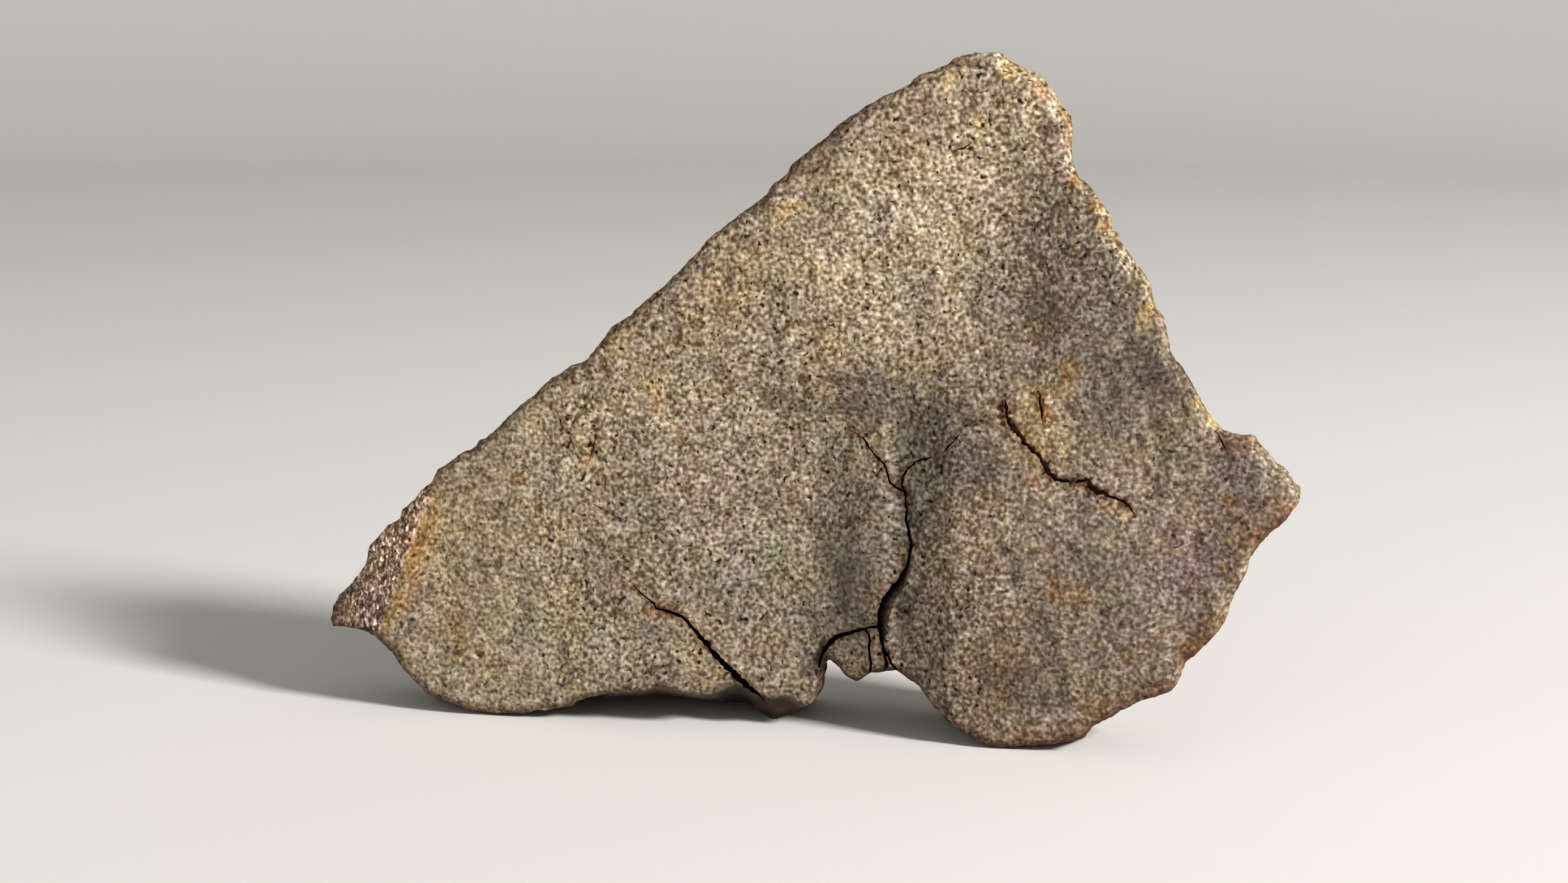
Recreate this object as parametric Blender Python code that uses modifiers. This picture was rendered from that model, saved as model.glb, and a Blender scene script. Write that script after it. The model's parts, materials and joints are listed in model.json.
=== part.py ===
"""A winonaite meteorite: one broken, slab-like piece of stone, about 50 mm wide, 36 mm tall and 10 mm thick, standing on its lower edge.

It is a single natural solid. Its broad face looks along -Y, its height is +Z, and it rests on z = 0 at two lobes, a foot between them and a heel behind.
"""

import math

import bmesh
import bpy
import numpy as np
from mathutils import Matrix, Vector, noise

NAME = "meteorite"
MM = 0.001

# The outline is drawn as it looks from EYE. A station is (u, v): u to the right and v down, in drawing units.
UNIT = 0.0315 * MM  # one drawing unit at AIM
FOCAL = 4807.0  # distance from EYE to AIM, in drawing units
VIEW_AZ, VIEW_EL = math.radians(14.0), math.radians(9.0)
CENTRE_UV = (1288.0, 725.0)
DATUM = (-1.05 * MM, -1.87 * MM)  # x and y that depths and base points are measured from
AIM_UV, AIM = (1268.0, 1179.0), (DATUM[0], DATUM[1] + 0.8 * MM, 0.0)  # the tip of the foot

FRONT_Y = -2.6 * MM  # the broad face at its foot, from the datum
BACK_Y = 8.2 * MM
LEAN_BACK = 0.035  # the broad face leans back as it rises

SMOOTH_VOXEL = 0.42 * MM
TRIANGLES = 7000

# Left tip, then clockwise: the long upper left edge, the peak, the right side with its horn, the right lobe, the arch, the foot, the heel and the left lobe.
OUTLINE = [
    (544, 1015), (548, 995), (560, 977), (580, 955), (600, 931), (606, 899),
    (620, 884), (638, 863), (659, 851), (661, 837), (680, 823), (700, 799),
    (714, 785), (720, 771), (740, 760), (760, 744), (780, 737), (800, 720),
    (834, 687), (860, 663), (880, 648), (904, 623), (920, 615), (939, 602),
    (957, 598), (980, 572), (1006, 537), (1036, 519), (1060, 496), (1075, 481),
    (1091, 472), (1106, 454), (1119, 444), (1140, 421), (1160, 398), (1186, 376),
    (1211, 357), (1240, 334), (1263, 316), (1270, 303), (1281, 297), (1301, 271),
    (1324, 253), (1355, 227), (1370, 213), (1386, 200), (1413, 183), (1440, 165),
    (1467, 152), (1497, 138), (1510, 123), (1541, 113), (1559, 106), (1569, 96),
    (1585, 91), (1603, 86), (1644, 87), (1669, 106), (1700, 119), (1723, 142),
    (1736, 157), (1741, 170), (1759, 193), (1762, 209), (1760, 242), (1767, 278),
    (1782, 297), (1799, 318), (1818, 345), (1826, 357), (1826, 380), (1836, 381),
    (1851, 411), (1872, 439), (1888, 467), (1899, 506), (1910, 518), (1919, 557),
    (1928, 588), (1953, 621), (1973, 659), (1997, 694), (2013, 708), (2039, 715),
    (2054, 713), (2069, 727), (2091, 751), (2119, 779), (2135, 799), (2135, 820),
    (2122, 840), (2100, 865), (2078, 884), (2058, 910), (2047, 936), (2037, 958),
    (2023, 990), (2008, 1026), (1988, 1050), (1961, 1077), (1947, 1086),
    (1938, 1113), (1920, 1136), (1885, 1147), (1858, 1158), (1826, 1176),
    (1797, 1191), (1781, 1210), (1753, 1217), (1720, 1223), (1681, 1225),
    (1640, 1226), (1607, 1218), (1581, 1200), (1556, 1180), (1533, 1159),
    (1515, 1133), (1492, 1114), (1472, 1100), (1445, 1104), (1426, 1107),
    (1408, 1119), (1389, 1110), (1379, 1095), (1365, 1083), (1358, 1087),
    (1356, 1111), (1348, 1137), (1332, 1156), (1309, 1168), (1291, 1174),
    (1270, 1181), (1259, 1171), (1241, 1162), (1223, 1152), (1180, 1151),
    (1140, 1147), (1100, 1143), (1048, 1139), (1020, 1139), (978, 1143),
    (949, 1152), (922, 1160), (880, 1167), (840, 1171), (800, 1168),
    (760, 1161), (720, 1145), (703, 1139), (682, 1118), (655, 1087),
    (633, 1060), (606, 1037), (590, 1033), (574, 1028), (546, 1028),
]

# Breaks that bound the stone, as (name, three points on the plane, a point on the side cut away). A point is (u, v, y in mm).
FACETS = [
    ("left_break", (706, 807, -2.5), (622, 1040, -2.5), (573, 960, 1.2), (560, 900, -2.6)),
    ("upper_left_back", (700, 771, 0.6), (1270, 289, 0.2), (1100, 640, 6.4), (900, 400, 5.0)),
    ("upper_edge_back", (1225, 324, 0.4), (1590, 66, 0.2), (1560, 330, 5.4), (1300, 100, 5.0)),
    ("peak_back", (1620, 50, 0.4), (1800, 209, 0.4), (1590, 330, 5.0), (1830, 60, 4.0)),
    ("right_upper_back", (1775, 209, -0.2), (1930, 515, 0.0), (1690, 480, 5.4), (2000, 300, 4.0)),
    ("right_middle_back", (1930, 500, 1.3), (2160, 770, 0.3), (1790, 790, 6.0), (2150, 500, 4.0)),
    ("horn_back", (2010, 685, 1.8), (2160, 790, 0.6), (1880, 900, 5.2), (2200, 600, 4.0)),
    ("right_lower_back", (2155, 825, 0.2), (1960, 1105, 0.4), (1840, 880, 5.6), (2180, 1100, 4.0)),
    ("right_lobe_back", (1960, 1100, 0.8), (1760, 1232, 2.6), (1700, 1040, 7.2), (1900, 1300, 5.0)),
    ("left_tip_back", (544, 1005, 1.7), (640, 845, 1.7), (800, 960, 5.2), (560, 900, 8.0)),
    ("left_lobe_back", (550, 1035, 1.8), (690, 1145, 2.2), (900, 960, 6.8), (600, 1200, 6.0)),
    ("back_left", (700, 1000, 4.6), (1150, 500, 4.8), (1300, 1000, 6.8), (900, 800, 9.0)),
    ("back_right", (1500, 300, 4.7), (1300, 1000, 6.8), (1950, 850, 4.6), (1700, 700, 9.0)),
    ("back_foot", (900, 1150, 5.6), (1600, 1150, 5.2), (1250, 800, 7.2), (1250, 1200, 9.0)),
]

# Breaks under the back of the stone, which leave only small places to rest on: (name, two base points (x, y) in mm, rise of the plane behind them in degrees).
BASE_FACETS = [
    ("left_base_back", (-17.0, 0.8), (-2.0, 5.4), 27.0),
    ("right_base_back", (2.0, 5.8), (16.0, 1.4), 29.0),
]

# The undercut below the face, from the left lobe to the foot: the face's lower edge (u, v), and the line (u, v, y in mm) where the underside ends behind it.
UNDERCUT = [
    ((1034, 1137), (1036, 1139, 3.4)), ((1059, 1132), (1058, 1140, 3.6)), ((1083, 1127), (1080, 1141, 3.7)),
    ((1118, 1133), (1112, 1144, 3.7)), ((1150, 1139), (1142, 1147, 3.7)), ((1180, 1138), (1172, 1150, 3.7)),
    ((1200, 1130), (1195, 1151, 3.6)), ((1221, 1123), (1217, 1152, 3.5)), ((1236, 1142), (1236, 1158, 2.6)),
    ((1250, 1142), (1248, 1169, 1.0)), ((1262, 1149), (1262, 1177, 0.8)), ((1281, 1139), (1281, 1178, 0.8)),
    ((1303, 1147), (1303, 1171, 0.8)), ((1318, 1158), (1318, 1163, 0.8)),
]

# The arch between the foot and the right lobe opens upwards behind the two chips that hang in it: (u, v) of its edge, the y where it starts and ends in mm, and how far it has risen there.
ARCH = [(1352, 1120), (1354, 1098), (1366, 1082), (1382, 1090), (1410, 1100), (1445, 1098), (1474, 1096), (1500, 1112), (1528, 1140), (1552, 1172)]
ARCH_Y, ARCH_RISE = (0.2, 9.0), 95.0

# Cracks: (name, depth in mm, sideways shift at that depth in mm, stations (u, v, width in drawing units)).
CRACKS = [
    (
        "crack_main", 4.5, -0.5,
        [(1487, 806, 3), (1490, 832, 4), (1493, 874, 5), (1497, 893, 6), (1493, 930, 7), (1481, 951, 8), (1465, 970, 9), (1452, 988, 11), (1448, 1010, 12), (1447, 1030, 11), (1450, 1055, 6), (1454, 1078, 6), (1455, 1112, 6)],
    ),
    (
        "crack_level", 4.0, 0.0,
        [(1449, 1028, 4), (1430, 1030, 4), (1406, 1036, 6), (1385, 1041, 8), (1365, 1052, 11), (1353, 1066, 8), (1347, 1084, 6), (1344, 1100, 5)],
    ),
    (
        "crack_left", 3.5, 0.3,
        [(1078, 999, 3), (1116, 1011, 5), (1140, 1034, 6), (1164, 1063, 8), (1188, 1090, 13), (1210, 1110, 16), (1232, 1127, 14), (1258, 1147, 12), (1272, 1160, 9)],
    ),
    (
        "crack_right", 2.0, 0.0,
        [(1652, 672, 5), (1655, 690, 6), (1676, 711, 7), (1693, 739, 7), (1716, 761, 7), (1741, 787, 7), (1774, 790, 5), (1810, 810, 6), (1848, 823, 5)],
    ),
]


def view_axes():
    ahead = Vector((-math.sin(VIEW_AZ) * math.cos(VIEW_EL), math.cos(VIEW_AZ) * math.cos(VIEW_EL), -math.sin(VIEW_EL)))
    right = Vector((math.cos(VIEW_AZ), math.sin(VIEW_AZ), 0.0))
    return ahead, right, right.cross(ahead)


AHEAD, RIGHT, UP = (np.array(v) for v in view_axes())


def sight(u, v):
    """Directions from EYE through the stations."""
    du = (np.asarray(u, float) - CENTRE_UV[0]) / FOCAL
    dv = (np.asarray(v, float) - CENTRE_UV[1]) / FOCAL
    return AHEAD + du[..., None] * RIGHT - dv[..., None] * UP


EYE = np.array(AIM) - sight(*AIM_UV) * UNIT * FOCAL


def place(u, v, y):
    """The points at depth y, from the datum, on the lines of sight through the stations."""
    s = sight(u, v)
    return EYE + s * ((np.asarray(y, float) + DATUM[1] - EYE[1]) / s[..., 1])[..., None]


def station(points):
    """The stations that points are seen at."""
    q = points - EYE
    depth = q @ AHEAD
    return CENTRE_UV[0] + FOCAL * (q @ RIGHT) / depth, CENTRE_UV[1] - FOCAL * (q @ UP) / depth


def ease(a, b, x):
    t = np.clip((x - a) / (b - a), 0.0, 1.0)
    return t * t * (3.0 - 2.0 * t)


def face_y(u, v):
    """Depth of the broad face before its relief: it leans back as it rises."""
    return FRONT_Y + LEAN_BACK * UNIT * (1200.0 - v)


def hill(u, v, u0, v0, ru, rv):
    return np.exp(-(((u - u0) / ru) ** 2) - ((v - v0) / rv) ** 2)


def relief(u, v):
    """How far the broad face stands proud (towards -Y), in metres."""
    wander = 16.0 * np.sin(v / 61.0) + 9.0 * np.sin(v / 23.0 + 1.0)
    low = ease(590, 720, v + 0.35 * wander)
    x = u + wander
    # The hollow above the arch falls slowly from the left, rises to a lip beside the main crack, and rises again beyond it.
    depth = ease(1060, 1338, x) - 0.62 * ease(1345, 1440, x) + 0.3 * ease(1448, 1490, u) - 0.68 * ease(1492, 1630, u)
    out = -1.15 * depth * low
    crease_u = 1665.0 - 50.0 * ease(230, 560, v) + 0.4 * wander
    across = (u - crease_u) / 125.0
    out -= 0.85 * np.exp(-np.where(across < 0, (across / 2.0) ** 2, across**2)) * ease(150, 300, v) * (1 - ease(540, 680, v))
    out += 0.5 * hill(u, v, 1080, 700, 230, 200) + 0.3 * hill(u, v, 1440, 330, 150, 160)
    out += 0.45 * hill(u, v, 1740, 980, 140, 150) - 0.35 * hill(u, v, 1960, 900, 80, 170)
    out += 0.35 * hill(u, v, 1765, 640, 90, 60) - 0.4 * hill(u, v, 1690, 520, 40, 45)
    out -= 0.4 * hill(u, v, 890, 930, 70, 200) + 0.25 * hill(u, v, 985, 760, 45, 90)
    return out * MM


def edge_distance(u, v):
    """Distance from each station to the outline, in metres."""
    loop = np.array(OUTLINE, float)
    a, b = loop, np.roll(loop, -1, axis=0)
    ab = b - a
    p = np.stack([u, v], axis=1)
    best = np.full(len(p), np.inf)
    for start, along in zip(a, ab):
        t = np.clip(((p - start) @ along) / (along @ along), 0.0, 1.0)
        best = np.minimum(best, np.linalg.norm(p - start - t[:, None] * along, axis=1))
    return best * UNIT


def link(obj, collection):
    collection.objects.link(obj)
    return obj


def helper(obj):
    obj.hide_render = True
    obj.display_type = "WIRE"
    return obj


def outward(bm):
    bmesh.ops.recalc_face_normals(bm, faces=bm.faces)
    if bm.calc_volume(signed=True) < 0:
        bmesh.ops.reverse_faces(bm, faces=bm.faces)


def as_mesh(obj, name):
    """A new mesh of the object with its modifiers applied."""
    graph = bpy.context.evaluated_depsgraph_get()
    mesh = bpy.data.meshes.new_from_object(obj.evaluated_get(graph))
    mesh.name = name
    return mesh


def make_blank(collection):
    """The outline as a thick plate whose sides run along the lines of sight."""
    curve = bpy.data.curves.new("outline", "CURVE")
    curve.dimensions = "2D"
    curve.fill_mode = "BOTH"
    curve.extrude = 1.0 * MM
    spline = curve.splines.new("POLY")
    spline.points.add(len(OUTLINE) - 1)
    for point, (u, v) in zip(spline.points, OUTLINE):
        point.co = ((u - CENTRE_UV[0]) * UNIT, (CENTRE_UV[1] - v) * UNIT, 0.0, 1.0)
    spline.use_cyclic_u = True
    flat = link(bpy.data.objects.new("outline", curve), collection)
    mesh = as_mesh(flat, "blank")
    bpy.data.objects.remove(flat)
    bpy.data.curves.remove(curve)
    bm = bmesh.new()
    bm.from_mesh(mesh)
    bmesh.ops.remove_doubles(bm, verts=bm.verts, dist=1e-6)
    bmesh.ops.triangulate(bm, faces=bm.faces)
    for vert in bm.verts:
        u, v = vert.co.x / UNIT + CENTRE_UV[0], CENTRE_UV[1] - vert.co.y / UNIT
        vert.co = place(u, v, face_y(u, v) if vert.co.z > 0 else BACK_Y)
    outward(bm)
    bm.to_mesh(mesh)
    bm.free()
    return helper(link(bpy.data.objects.new("blank", mesh), collection))


def make_block(name, middle, along, normal, away, collection):
    """A large block that has one face on the plane through middle, on the side that away points to."""
    side = 90 * MM
    normal = normal.normalized()
    if normal.dot(away) < 0:
        normal.negate()
    bpy.ops.mesh.primitive_cube_add(size=side)
    obj = bpy.context.active_object
    obj.name = name
    for old in list(obj.users_collection):
        old.objects.unlink(obj)
    link(obj, collection)
    turn = Matrix((along, normal.cross(along), normal)).transposed().to_4x4()
    obj.matrix_world = Matrix.Translation(middle + normal * side / 2) @ turn
    return helper(obj)


def make_facet(name, a, b, c, away, collection):
    """A block whose face lies on the plane through a, b and c."""
    a, b, c, away = (Vector(place(u, v, y * MM)) for u, v, y in (a, b, c, away))
    along = (b - a).normalized()
    return make_block(name, (a + b + c) / 3, along, along.cross(c - a), away - a, collection)


def make_base_facet(name, a, b, rise, collection):
    """As make_facet, with its plane rising backwards from the line between two points of the base."""
    a, b = (Vector((x * MM + DATUM[0], y * MM + DATUM[1], 0.0)) for x, y in (a, b))
    along = (b - a).normalized()
    back = Vector((-along.y, along.x, 0.0))
    slope = back * math.cos(math.radians(rise)) + Vector((0, 0, math.sin(math.radians(rise))))
    return make_block(name, (a + b) / 2, along, along.cross(slope), Vector((0, 0, -1)), collection)


def make_arch(collection):
    """The opening of the arch behind the chips, which rises backwards."""
    edge = np.array(ARCH, float)
    sections = []
    for y, rise in zip(ARCH_Y, (0.0, ARCH_RISE)):
        y = np.full(len(edge), y * MM)
        top = place(edge[:, 0], edge[:, 1] - rise, y)
        drop = place(edge[::-1, 0], edge[::-1, 1] + 260.0, y)
        sections.append(np.concatenate([top, drop]))
    return loft("arch", sections, collection)


def loft(name, sections, collection):
    """A closed solid through sections that each have the same number of points."""
    bm = bmesh.new()
    rings = [[bm.verts.new(p) for p in section] for section in sections]
    count = len(rings[0])
    for one, two in zip(rings, rings[1:]):
        for i in range(count):
            j = (i + 1) % count
            bm.faces.new((one[i], one[j], two[j], two[i]))
    bm.faces.new(rings[0])
    bm.faces.new(rings[-1])
    bmesh.ops.triangulate(bm, faces=bm.faces)
    outward(bm)
    mesh = bpy.data.meshes.new(name)
    bm.to_mesh(mesh)
    bm.free()
    return helper(link(bpy.data.objects.new(name, mesh), collection))


def make_undercut(collection):
    """Takes away what lies below the face's lower edge and the underside that runs back from it."""
    front = np.array([edge for edge, _ in UNDERCUT], float)
    back = np.array([end for _, end in UNDERCUT], float)
    front_y = FRONT_Y + 0.3 * MM
    sections = []
    for t in (-0.8, 0.0, 1.0):
        line = front + (back[:, :2] - front) * max(t, 0.0)
        y = front_y + (back[:, 2] * MM - front_y) * t
        top = place(line[:, 0], line[:, 1], y)
        drop = place(line[::-1, 0], line[::-1, 1] + 260.0, y[::-1])
        sections.append(np.concatenate([top, drop]))
    return loft("undercut", sections, collection)


def make_crack(name, depth, shift, stations, collection):
    """A wedge along the stations: open in front of the face, and closing to a thin edge at its depth."""
    path = np.array(stations, float)
    ahead = np.gradient(path[:, :2], axis=0)
    ahead /= np.linalg.norm(ahead, axis=1)[:, None]
    across = np.stack([-ahead[:, 1], ahead[:, 0]], axis=1)
    surface = face_y(path[:, 0], path[:, 1]) - relief(path[:, 0], path[:, 1])
    taper = np.interp(np.arange(len(path)), [0, 2, len(path) - 1], [0.35, 1.0, 1.0])
    sections = []
    for i in range(len(path)):
        ring = []
        for side, out in ((-1, -1.6), (-1, 0.0), (-1, 1.0), (1, 1.0), (1, 0.0), (1, -1.6)):
            deep = max(out, 0.0)
            half = path[i, 2] / 2 * (1.0 - 0.75 * deep)
            u = path[i, 0] + across[i, 0] * side * half + deep * shift * MM / UNIT
            v = path[i, 1] + across[i, 1] * side * half
            reach = (depth * taper[i] if out > 0 else 1.0) * MM
            ring.append(place(u, v, surface[i] + out * reach))
        sections.append(ring)
    return loft(name, sections, collection)


def make_ground(collection):
    """Everything below the surface that the stone rests on."""
    bpy.ops.mesh.primitive_cube_add(size=120 * MM, location=(0, 0, -60 * MM))
    obj = bpy.context.active_object
    obj.name = "ground"
    for old in list(obj.users_collection):
        old.objects.unlink(obj)
    return helper(link(obj, collection))


def cut(obj, cutter):
    modifier = obj.modifiers.new(cutter.name, "BOOLEAN")
    modifier.operation = "DIFFERENCE"
    modifier.solver = "EXACT"
    modifier.object = cutter


def weather(mesh):
    """Moves the points of the even mesh: the relief of the face, its worn rim, and the unevenness of broken stone."""
    count = len(mesh.vertices)
    points = np.empty(count * 3)
    mesh.vertices.foreach_get("co", points)
    points = points.reshape(-1, 3)
    normals = np.empty(count * 3)
    mesh.vertices.foreach_get("normal", normals)
    normals = normals.reshape(-1, 3)
    u, v = station(points)
    y = points[:, 1] - DATUM[1]
    inside = edge_distance(u, v)
    front = 1.0 - ease(0.0, 4.0 * MM, y - face_y(u, v))
    back = ease(0.0, 0.6, normals[:, 1])
    rim = np.clip(1.0 - inside / (0.9 * MM), 0.0, 1.0) ** 2
    points = place(u, v, y + front * (0.6 * MM * rim - relief(u, v)))
    rough = np.array([
        0.55 * noise.fractal(Vector(p) * 160.0, 1.0, 2.0, 2) for p in points
    ]) * back + np.array([
        0.16 * noise.fractal(Vector(p) * 520.0 + Vector((7, 3, 1)), 1.0, 2.0, 3) for p in points
    ]) * np.interp(inside, [0.0, 1.2 * MM], [0.35, 1.0])
    points += normals * rough[:, None] * MM
    mesh.vertices.foreach_set("co", points.reshape(-1))
    mesh.update()


def make_material():
    material = bpy.data.materials.new("stone")
    material.use_nodes = True
    shader = material.node_tree.nodes["Principled BSDF"]
    shader.inputs["Base Color"].default_value = (0.24, 0.185, 0.125, 1.0)
    shader.inputs["Roughness"].default_value = 0.8
    shader.inputs["Metallic"].default_value = 0.0
    return material


def main():
    for obj in list(bpy.data.objects):
        bpy.data.objects.remove(obj)
    scene = bpy.context.scene
    parts = bpy.data.collections.new("winonaite_meteorite")
    cutters = bpy.data.collections.new("cutters")
    scene.collection.children.link(parts)
    scene.collection.children.link(cutters)
    cutters.hide_render = True

    blank = make_blank(cutters)
    for name, a, b, c, away in FACETS:
        cut(blank, make_facet(name, a, b, c, away, cutters))
    for name, a, b, rise in BASE_FACETS:
        cut(blank, make_base_facet(name, a, b, rise, cutters))
    cut(blank, make_arch(cutters))
    cut(blank, make_undercut(cutters))
    remesh = blank.modifiers.new("even", "REMESH")
    remesh.mode = "VOXEL"
    remesh.voxel_size = SMOOTH_VOXEL
    soften = blank.modifiers.new("soften", "SMOOTH")
    soften.factor = 0.5
    soften.iterations = 2

    mesh = as_mesh(blank, NAME)
    weather(mesh)
    stone = link(bpy.data.objects.new(NAME, mesh), parts)
    mesh.materials.clear()
    mesh.materials.append(make_material())
    thin = stone.modifiers.new("thin", "DECIMATE")
    thin.ratio = TRIANGLES / (2.0 * len(mesh.polygons))
    thin.use_collapse_triangulate = True
    for name, depth, shift, stations in CRACKS:
        cut(stone, make_crack(name, depth, shift, stations, cutters))
    cut(stone, make_ground(cutters))
    stone.data.shade_flat()


main()
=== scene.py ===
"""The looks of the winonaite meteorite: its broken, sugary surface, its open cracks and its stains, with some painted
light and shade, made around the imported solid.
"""

import json
import math
import bmesh
import bpy
import numpy as np
from mathutils import Matrix, Vector, noise
from mathutils.bvhtree import BVHTree

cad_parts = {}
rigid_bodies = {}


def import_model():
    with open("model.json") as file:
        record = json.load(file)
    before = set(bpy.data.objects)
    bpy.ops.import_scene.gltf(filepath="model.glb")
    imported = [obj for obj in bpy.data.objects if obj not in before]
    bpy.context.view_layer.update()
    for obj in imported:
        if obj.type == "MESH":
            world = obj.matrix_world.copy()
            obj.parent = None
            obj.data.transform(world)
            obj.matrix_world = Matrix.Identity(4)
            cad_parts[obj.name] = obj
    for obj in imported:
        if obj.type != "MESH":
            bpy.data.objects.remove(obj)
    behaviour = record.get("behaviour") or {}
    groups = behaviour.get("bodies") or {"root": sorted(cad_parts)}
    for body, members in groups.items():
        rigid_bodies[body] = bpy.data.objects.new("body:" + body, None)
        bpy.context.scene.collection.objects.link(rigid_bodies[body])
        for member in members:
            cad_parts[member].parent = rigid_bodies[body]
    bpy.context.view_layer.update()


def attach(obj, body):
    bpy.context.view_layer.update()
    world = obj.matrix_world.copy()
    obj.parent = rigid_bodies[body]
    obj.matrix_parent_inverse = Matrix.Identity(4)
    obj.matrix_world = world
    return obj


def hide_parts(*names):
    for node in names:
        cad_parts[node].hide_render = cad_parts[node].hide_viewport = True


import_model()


MM = 0.001

# ---------------------------------------------------------------- the drawing that the stone is built on
UNIT = 0.0315 * MM
FOCAL = 4807.0
VIEW_AZ, VIEW_EL = math.radians(14.0), math.radians(9.0)
CENTRE_UV = (1288.0, 725.0)
DATUM = (-1.05 * MM, -1.87 * MM)
AIM_UV, AIM = (1268.0, 1179.0), (DATUM[0], DATUM[1] + 0.8 * MM, 0.0)
FRONT_Y = -2.6 * MM
BACK_Y = 8.2 * MM
LEAN_BACK = 0.035

VOXEL = 0.29 * MM  # the even mesh, before the side that shows most is divided again

OUTLINE = [
    (544, 1015), (548, 995), (560, 977), (580, 955), (600, 931), (606, 899),
    (620, 884), (638, 863), (659, 851), (661, 837), (680, 823), (700, 799),
    (714, 785), (720, 771), (740, 760), (760, 744), (780, 737), (800, 720),
    (834, 687), (860, 663), (880, 648), (904, 623), (920, 615), (939, 602),
    (957, 598), (980, 572), (1006, 537), (1036, 519), (1060, 496), (1075, 481),
    (1091, 472), (1106, 454), (1119, 444), (1140, 421), (1160, 398), (1186, 376),
    (1211, 357), (1240, 334), (1263, 316), (1270, 303), (1281, 297), (1301, 271),
    (1324, 253), (1355, 227), (1370, 213), (1386, 200), (1413, 183), (1440, 165),
    (1467, 152), (1497, 138), (1510, 123), (1541, 113), (1559, 106), (1569, 96),
    (1585, 91), (1603, 86), (1644, 87), (1669, 106), (1700, 119), (1723, 142),
    (1736, 157), (1741, 170), (1759, 193), (1762, 209), (1760, 242), (1767, 278),
    (1782, 297), (1799, 318), (1818, 345), (1826, 357), (1826, 380), (1836, 381),
    (1851, 411), (1872, 439), (1888, 467), (1899, 506), (1910, 518), (1919, 557),
    (1928, 588), (1953, 621), (1973, 659), (1997, 694), (2013, 708), (2039, 715),
    (2054, 713), (2069, 727), (2091, 751), (2119, 779), (2135, 799), (2135, 820),
    (2122, 840), (2100, 865), (2078, 884), (2058, 910), (2047, 936), (2037, 958),
    (2023, 990), (2008, 1026), (1988, 1050), (1961, 1077), (1947, 1086),
    (1938, 1113), (1920, 1136), (1885, 1147), (1858, 1158), (1826, 1176),
    (1797, 1191), (1781, 1210), (1753, 1217), (1720, 1223), (1681, 1225),
    (1640, 1226), (1607, 1218), (1581, 1200), (1556, 1180), (1533, 1159),
    (1515, 1133), (1492, 1114), (1472, 1100), (1445, 1104), (1426, 1107),
    (1408, 1119), (1389, 1110), (1379, 1095), (1365, 1083), (1358, 1087),
    (1356, 1111), (1348, 1137), (1332, 1156), (1309, 1168), (1291, 1174),
    (1270, 1181), (1259, 1171), (1241, 1162), (1223, 1152), (1180, 1151),
    (1140, 1147), (1100, 1143), (1048, 1139), (1020, 1139), (978, 1143),
    (949, 1152), (922, 1160), (880, 1167), (840, 1171), (800, 1168),
    (760, 1161), (720, 1145), (703, 1139), (682, 1118), (655, 1087),
    (633, 1060), (606, 1037), (590, 1033), (574, 1028), (546, 1028),
]

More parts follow.
